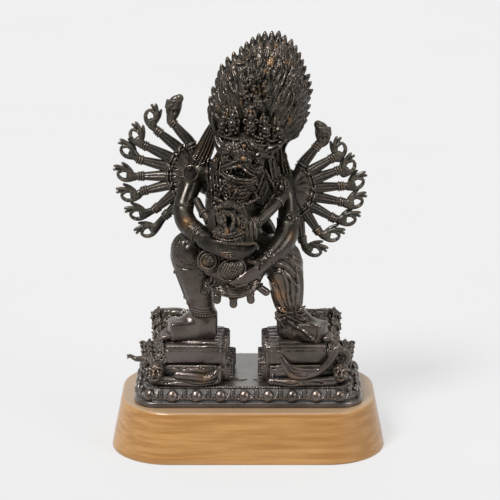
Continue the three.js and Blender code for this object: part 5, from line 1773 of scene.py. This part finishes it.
def makeFan(which):
    s, spec = fans, fans[which]
    root = np.array(spec["root"], float)
    away = math.copysign(1, root[0])
    xs = sorted((away * 20, away * 140))
    newWax((xs[0], -8, 170), (xs[1], 36, 372), s["voxel"])
    lump(root - (away * 4, 0, 0), (15, 8, 19), 3)
    for k, (elbow, wrist, loop, angle) in enumerate(spec["arms"]):
        back = 2.5 + 0.9 * (k % 2)
        elbowAt = np.array([elbow[0], root[1] + back - 2.5, elbow[1]])
        wristAt = np.array([wrist[0], root[1] + back, wrist[1]])
        loopAt = np.array([loop[0], root[1] + back - 1, loop[1]])
        inner = root + 0.1 * (elbowAt - root) - (0, 2, 0)
        shaft = [(*inner, 5.2), (*((inner + elbowAt) / 2 - (0, 1.5, 0)), 5.0), (*elbowAt, 5.6),
                 (*((elbowAt + wristAt) / 2), 5.0), (*wristAt, 3.6)]
        strand(shaft, 0.7)
        way = unit(wristAt - elbowAt)
        upper = unit(elbowAt - inner)
        band = elbowAt - 1.5 * upper
        for row in (-2.0, 1.4):  # double armlet, a groove between
            ring(band + row * upper, upper, 5.7, 0.95)
        ring(band - 0.3 * upper, upper, 6.0, 0.9, 0.2, True)
        if k % 2 == 1:
            ball(band - (0, 6.0, 0), 2.0, 0.4)
        for row in (-3.6, -1.2, 1.2):
            ring(wristAt + row * way, way, 4.1 - 0.1 * row, 0.95)
        side = np.cross(way, (0, 1, 0))
        for off, deep in ((2.2, 4.6), (-1.6, 5.0)):  # modelled lines along each arm
            a, b = elbowAt + 0.06 * (wristAt - elbowAt), elbowAt + 0.84 * (wristAt - elbowAt)
            half = (a + b) / 2 + off * side - (0, deep - 0.3, 0)
            strand([(*(a + off * side - (0, deep, 0)), 0.5), (*half, 0.8),
                    (*(b + 0.6 * off * side - (0, deep - 1.2, 0)), 0.4)], 0.4, True)
            a, b = inner + 0.2 * (elbowAt - inner), inner + 0.9 * (elbowAt - inner)
            across = np.cross(upper, (0, 1, 0))
            strand([(*(a + off * across - (0, deep, 0)), 0.5), (*(b + off * across - (0, deep, 0)), 0.8)],
                   0.4, True)
        hand = topHand if k == 0 else fanHand
        hand(wristAt + 1.5 * way, loopAt, math.radians(angle), -away)
    dusty = [(*(root + (away * 55, 0, 5)), 75, 0.3)]
    dusty += [(loop[0], root[1], loop[1], 16, 0.9) for _, _, loop, _ in spec["arms"]]
    warm = [(wrist[0], root[1] - 3, wrist[1], 6, 0.12) for _, wrist, _, _ in spec["arms"][::3]]
    return cast(f"fan_of_arms_{which}", s["mostFaces"], warm, dusty)


# Building the statue

finishes = {
    "figure": {"polish": 0.22, "dustAmount": 0.85, "wearAndHighlightAmount": 0.6, "coat": 0.16, "upper": "umber"},
    "consort": {"polish": 0.34, "dustAmount": 0.9, "wearAndHighlightAmount": 0.6, "coat": 0.16},
    "fan": {"polish": 0.3, "dustAmount": 0.85, "wearAndHighlightAmount": 0.5},
    "heap": {"polish": 0.28, "dustAmount": 0.9, "wearAndHighlightAmount": 0.5},
    "base": {"polish": 0.24, "dustAmount": 0.8, "wearAndHighlightAmount": 0.45, "grain": 0.12, "coat": 1.0,
             "haze": 0.32},
}
bronzes = {piece: bronze(f"{piece}Bronze", **finish) for piece, finish in finishes.items()}

setPiece(makePlinth(), "wood_plinth", plinthWood())
report("plinth")
setPiece(makeLotusBase(), "lotus_base", bronzes["base"])
for which in ("right", "left"):
    setPiece(makeHeap(which), f"trampled_beings_{which}", bronzes["heap"])
setPiece(makeDeity(), "vajrabhairava", bronzes["figure"])
setPiece(makeConsort(), "consort", bronzes["consort"])
for which in ("right", "left"):
    setPiece(makeFan(which), f"arm_fan_{which}", bronzes["fan"])


# Floor, light and camera

studio = {
    "floorSize": 8.0, "paperTone": 0.2, "paperGlow": 0.58,
    "tentDark": (0.09, 0.09, 0.095), "tentPale": (1.0, 1.0, 1.0), "tentPower": 0.85,
    "lamps": {  # way round from the viewer, height and softness in degrees, power
        "keyLamp": (-38, 50, 18, 3.1), "fillLamp": (55, 28, 25, 0.9), "topLamp": (10, 80, 40, 0.6),
    },
}


def makeFloor():
    half, tone = studio["floorSize"] / 2, studio["paperTone"]
    mesh = bpy.data.meshes.new("studio_floor")
    corners = [(-half, -half, 0), (half, -half, 0), (half, half, 0), (-half, half, 0)]
    mesh.from_pydata(corners, [], [(0, 1, 2, 3)])
    floor = newObject("studio_floor", mesh)
    material, tree, shader, place = newMaterial("palePaper")
    paper = mixColour(tree, noiseOf(tree, place, 3, 2), (tone - 0.01,) * 3, (tone + 0.01,) * 3)
    tree.links.new(paper, shader.inputs["Base Color"])
    shader.inputs["Roughness"].default_value = 0.9
    shader.inputs["Specular IOR Level"].default_value = 0.0
    shader.inputs["Emission Color"].default_value = (1, 1, 1, 1)
    shader.inputs["Emission Strength"].default_value = studio["paperGlow"]
    mesh.materials.append(material)


def addLamp(name, azimuth, height, softness, power):
    # a far, soft lamp; azimuth 0 is the viewer's side and 90 the viewer's right
    light = bpy.data.lights.new(name, "SUN")
    light.angle = math.radians(softness)
    light.energy = power
    lamp = newObject(name, light)
    turn, lift = math.radians(azimuth), math.radians(height)
    way = Vector((math.sin(turn) * math.cos(lift), -math.cos(turn) * math.cos(lift), math.sin(lift)))
    lamp.location = way
    lamp.rotation_euler = (-way).to_track_quat("-Z", "Y").to_euler()


def lightStudio():
    world = bpy.data.worlds.new("lightTent")
    bpy.context.scene.world = world
    world.use_nodes = True
    tree = world.node_tree
    way = tree.nodes.new("ShaderNodeSeparateXYZ")
    tree.links.new(tree.nodes.new("ShaderNodeTexCoord").outputs["Generated"], way.inputs[0])
    sides = ranged(tree, mathOf(tree, "ABSOLUTE", way.outputs[0]), 0.45, 0.95, (0.0, 0.6))
    behind = ranged(tree, way.outputs[1], 0.0, 0.6)
    tone = mixColour(tree, most(tree, sides, behind), studio["tentDark"], studio["tentPale"])
    back = tree.nodes["Background"]
    tree.links.new(tone, back.inputs["Color"])
    back.inputs["Strength"].default_value = studio["tentPower"]
    for name, spec in studio["lamps"].items():
        addLamp(name, *spec)


def makeCamera():
    s = shot
    lean = math.radians(s["elevation"])
    target = Vector(s["target"])
    place = target + Vector((0, -math.cos(lean), math.sin(lean))) * s["distance"]
    data = bpy.data.cameras.new("camera")
    data.sensor_width = s["sensor"]
    data.lens = s["lens"]
    data.clip_start, data.clip_end = 0.05, 50
    camera = newObject("camera", data)
    camera.location = place * mm
    camera.rotation_euler = (target - place).to_track_quat("-Z", "Y").to_euler()
    bpy.context.scene.camera = camera


makeFloor()
lightStudio()
makeCamera()
bpy.context.scene.view_settings.view_transform = "Standard"
report("studio")
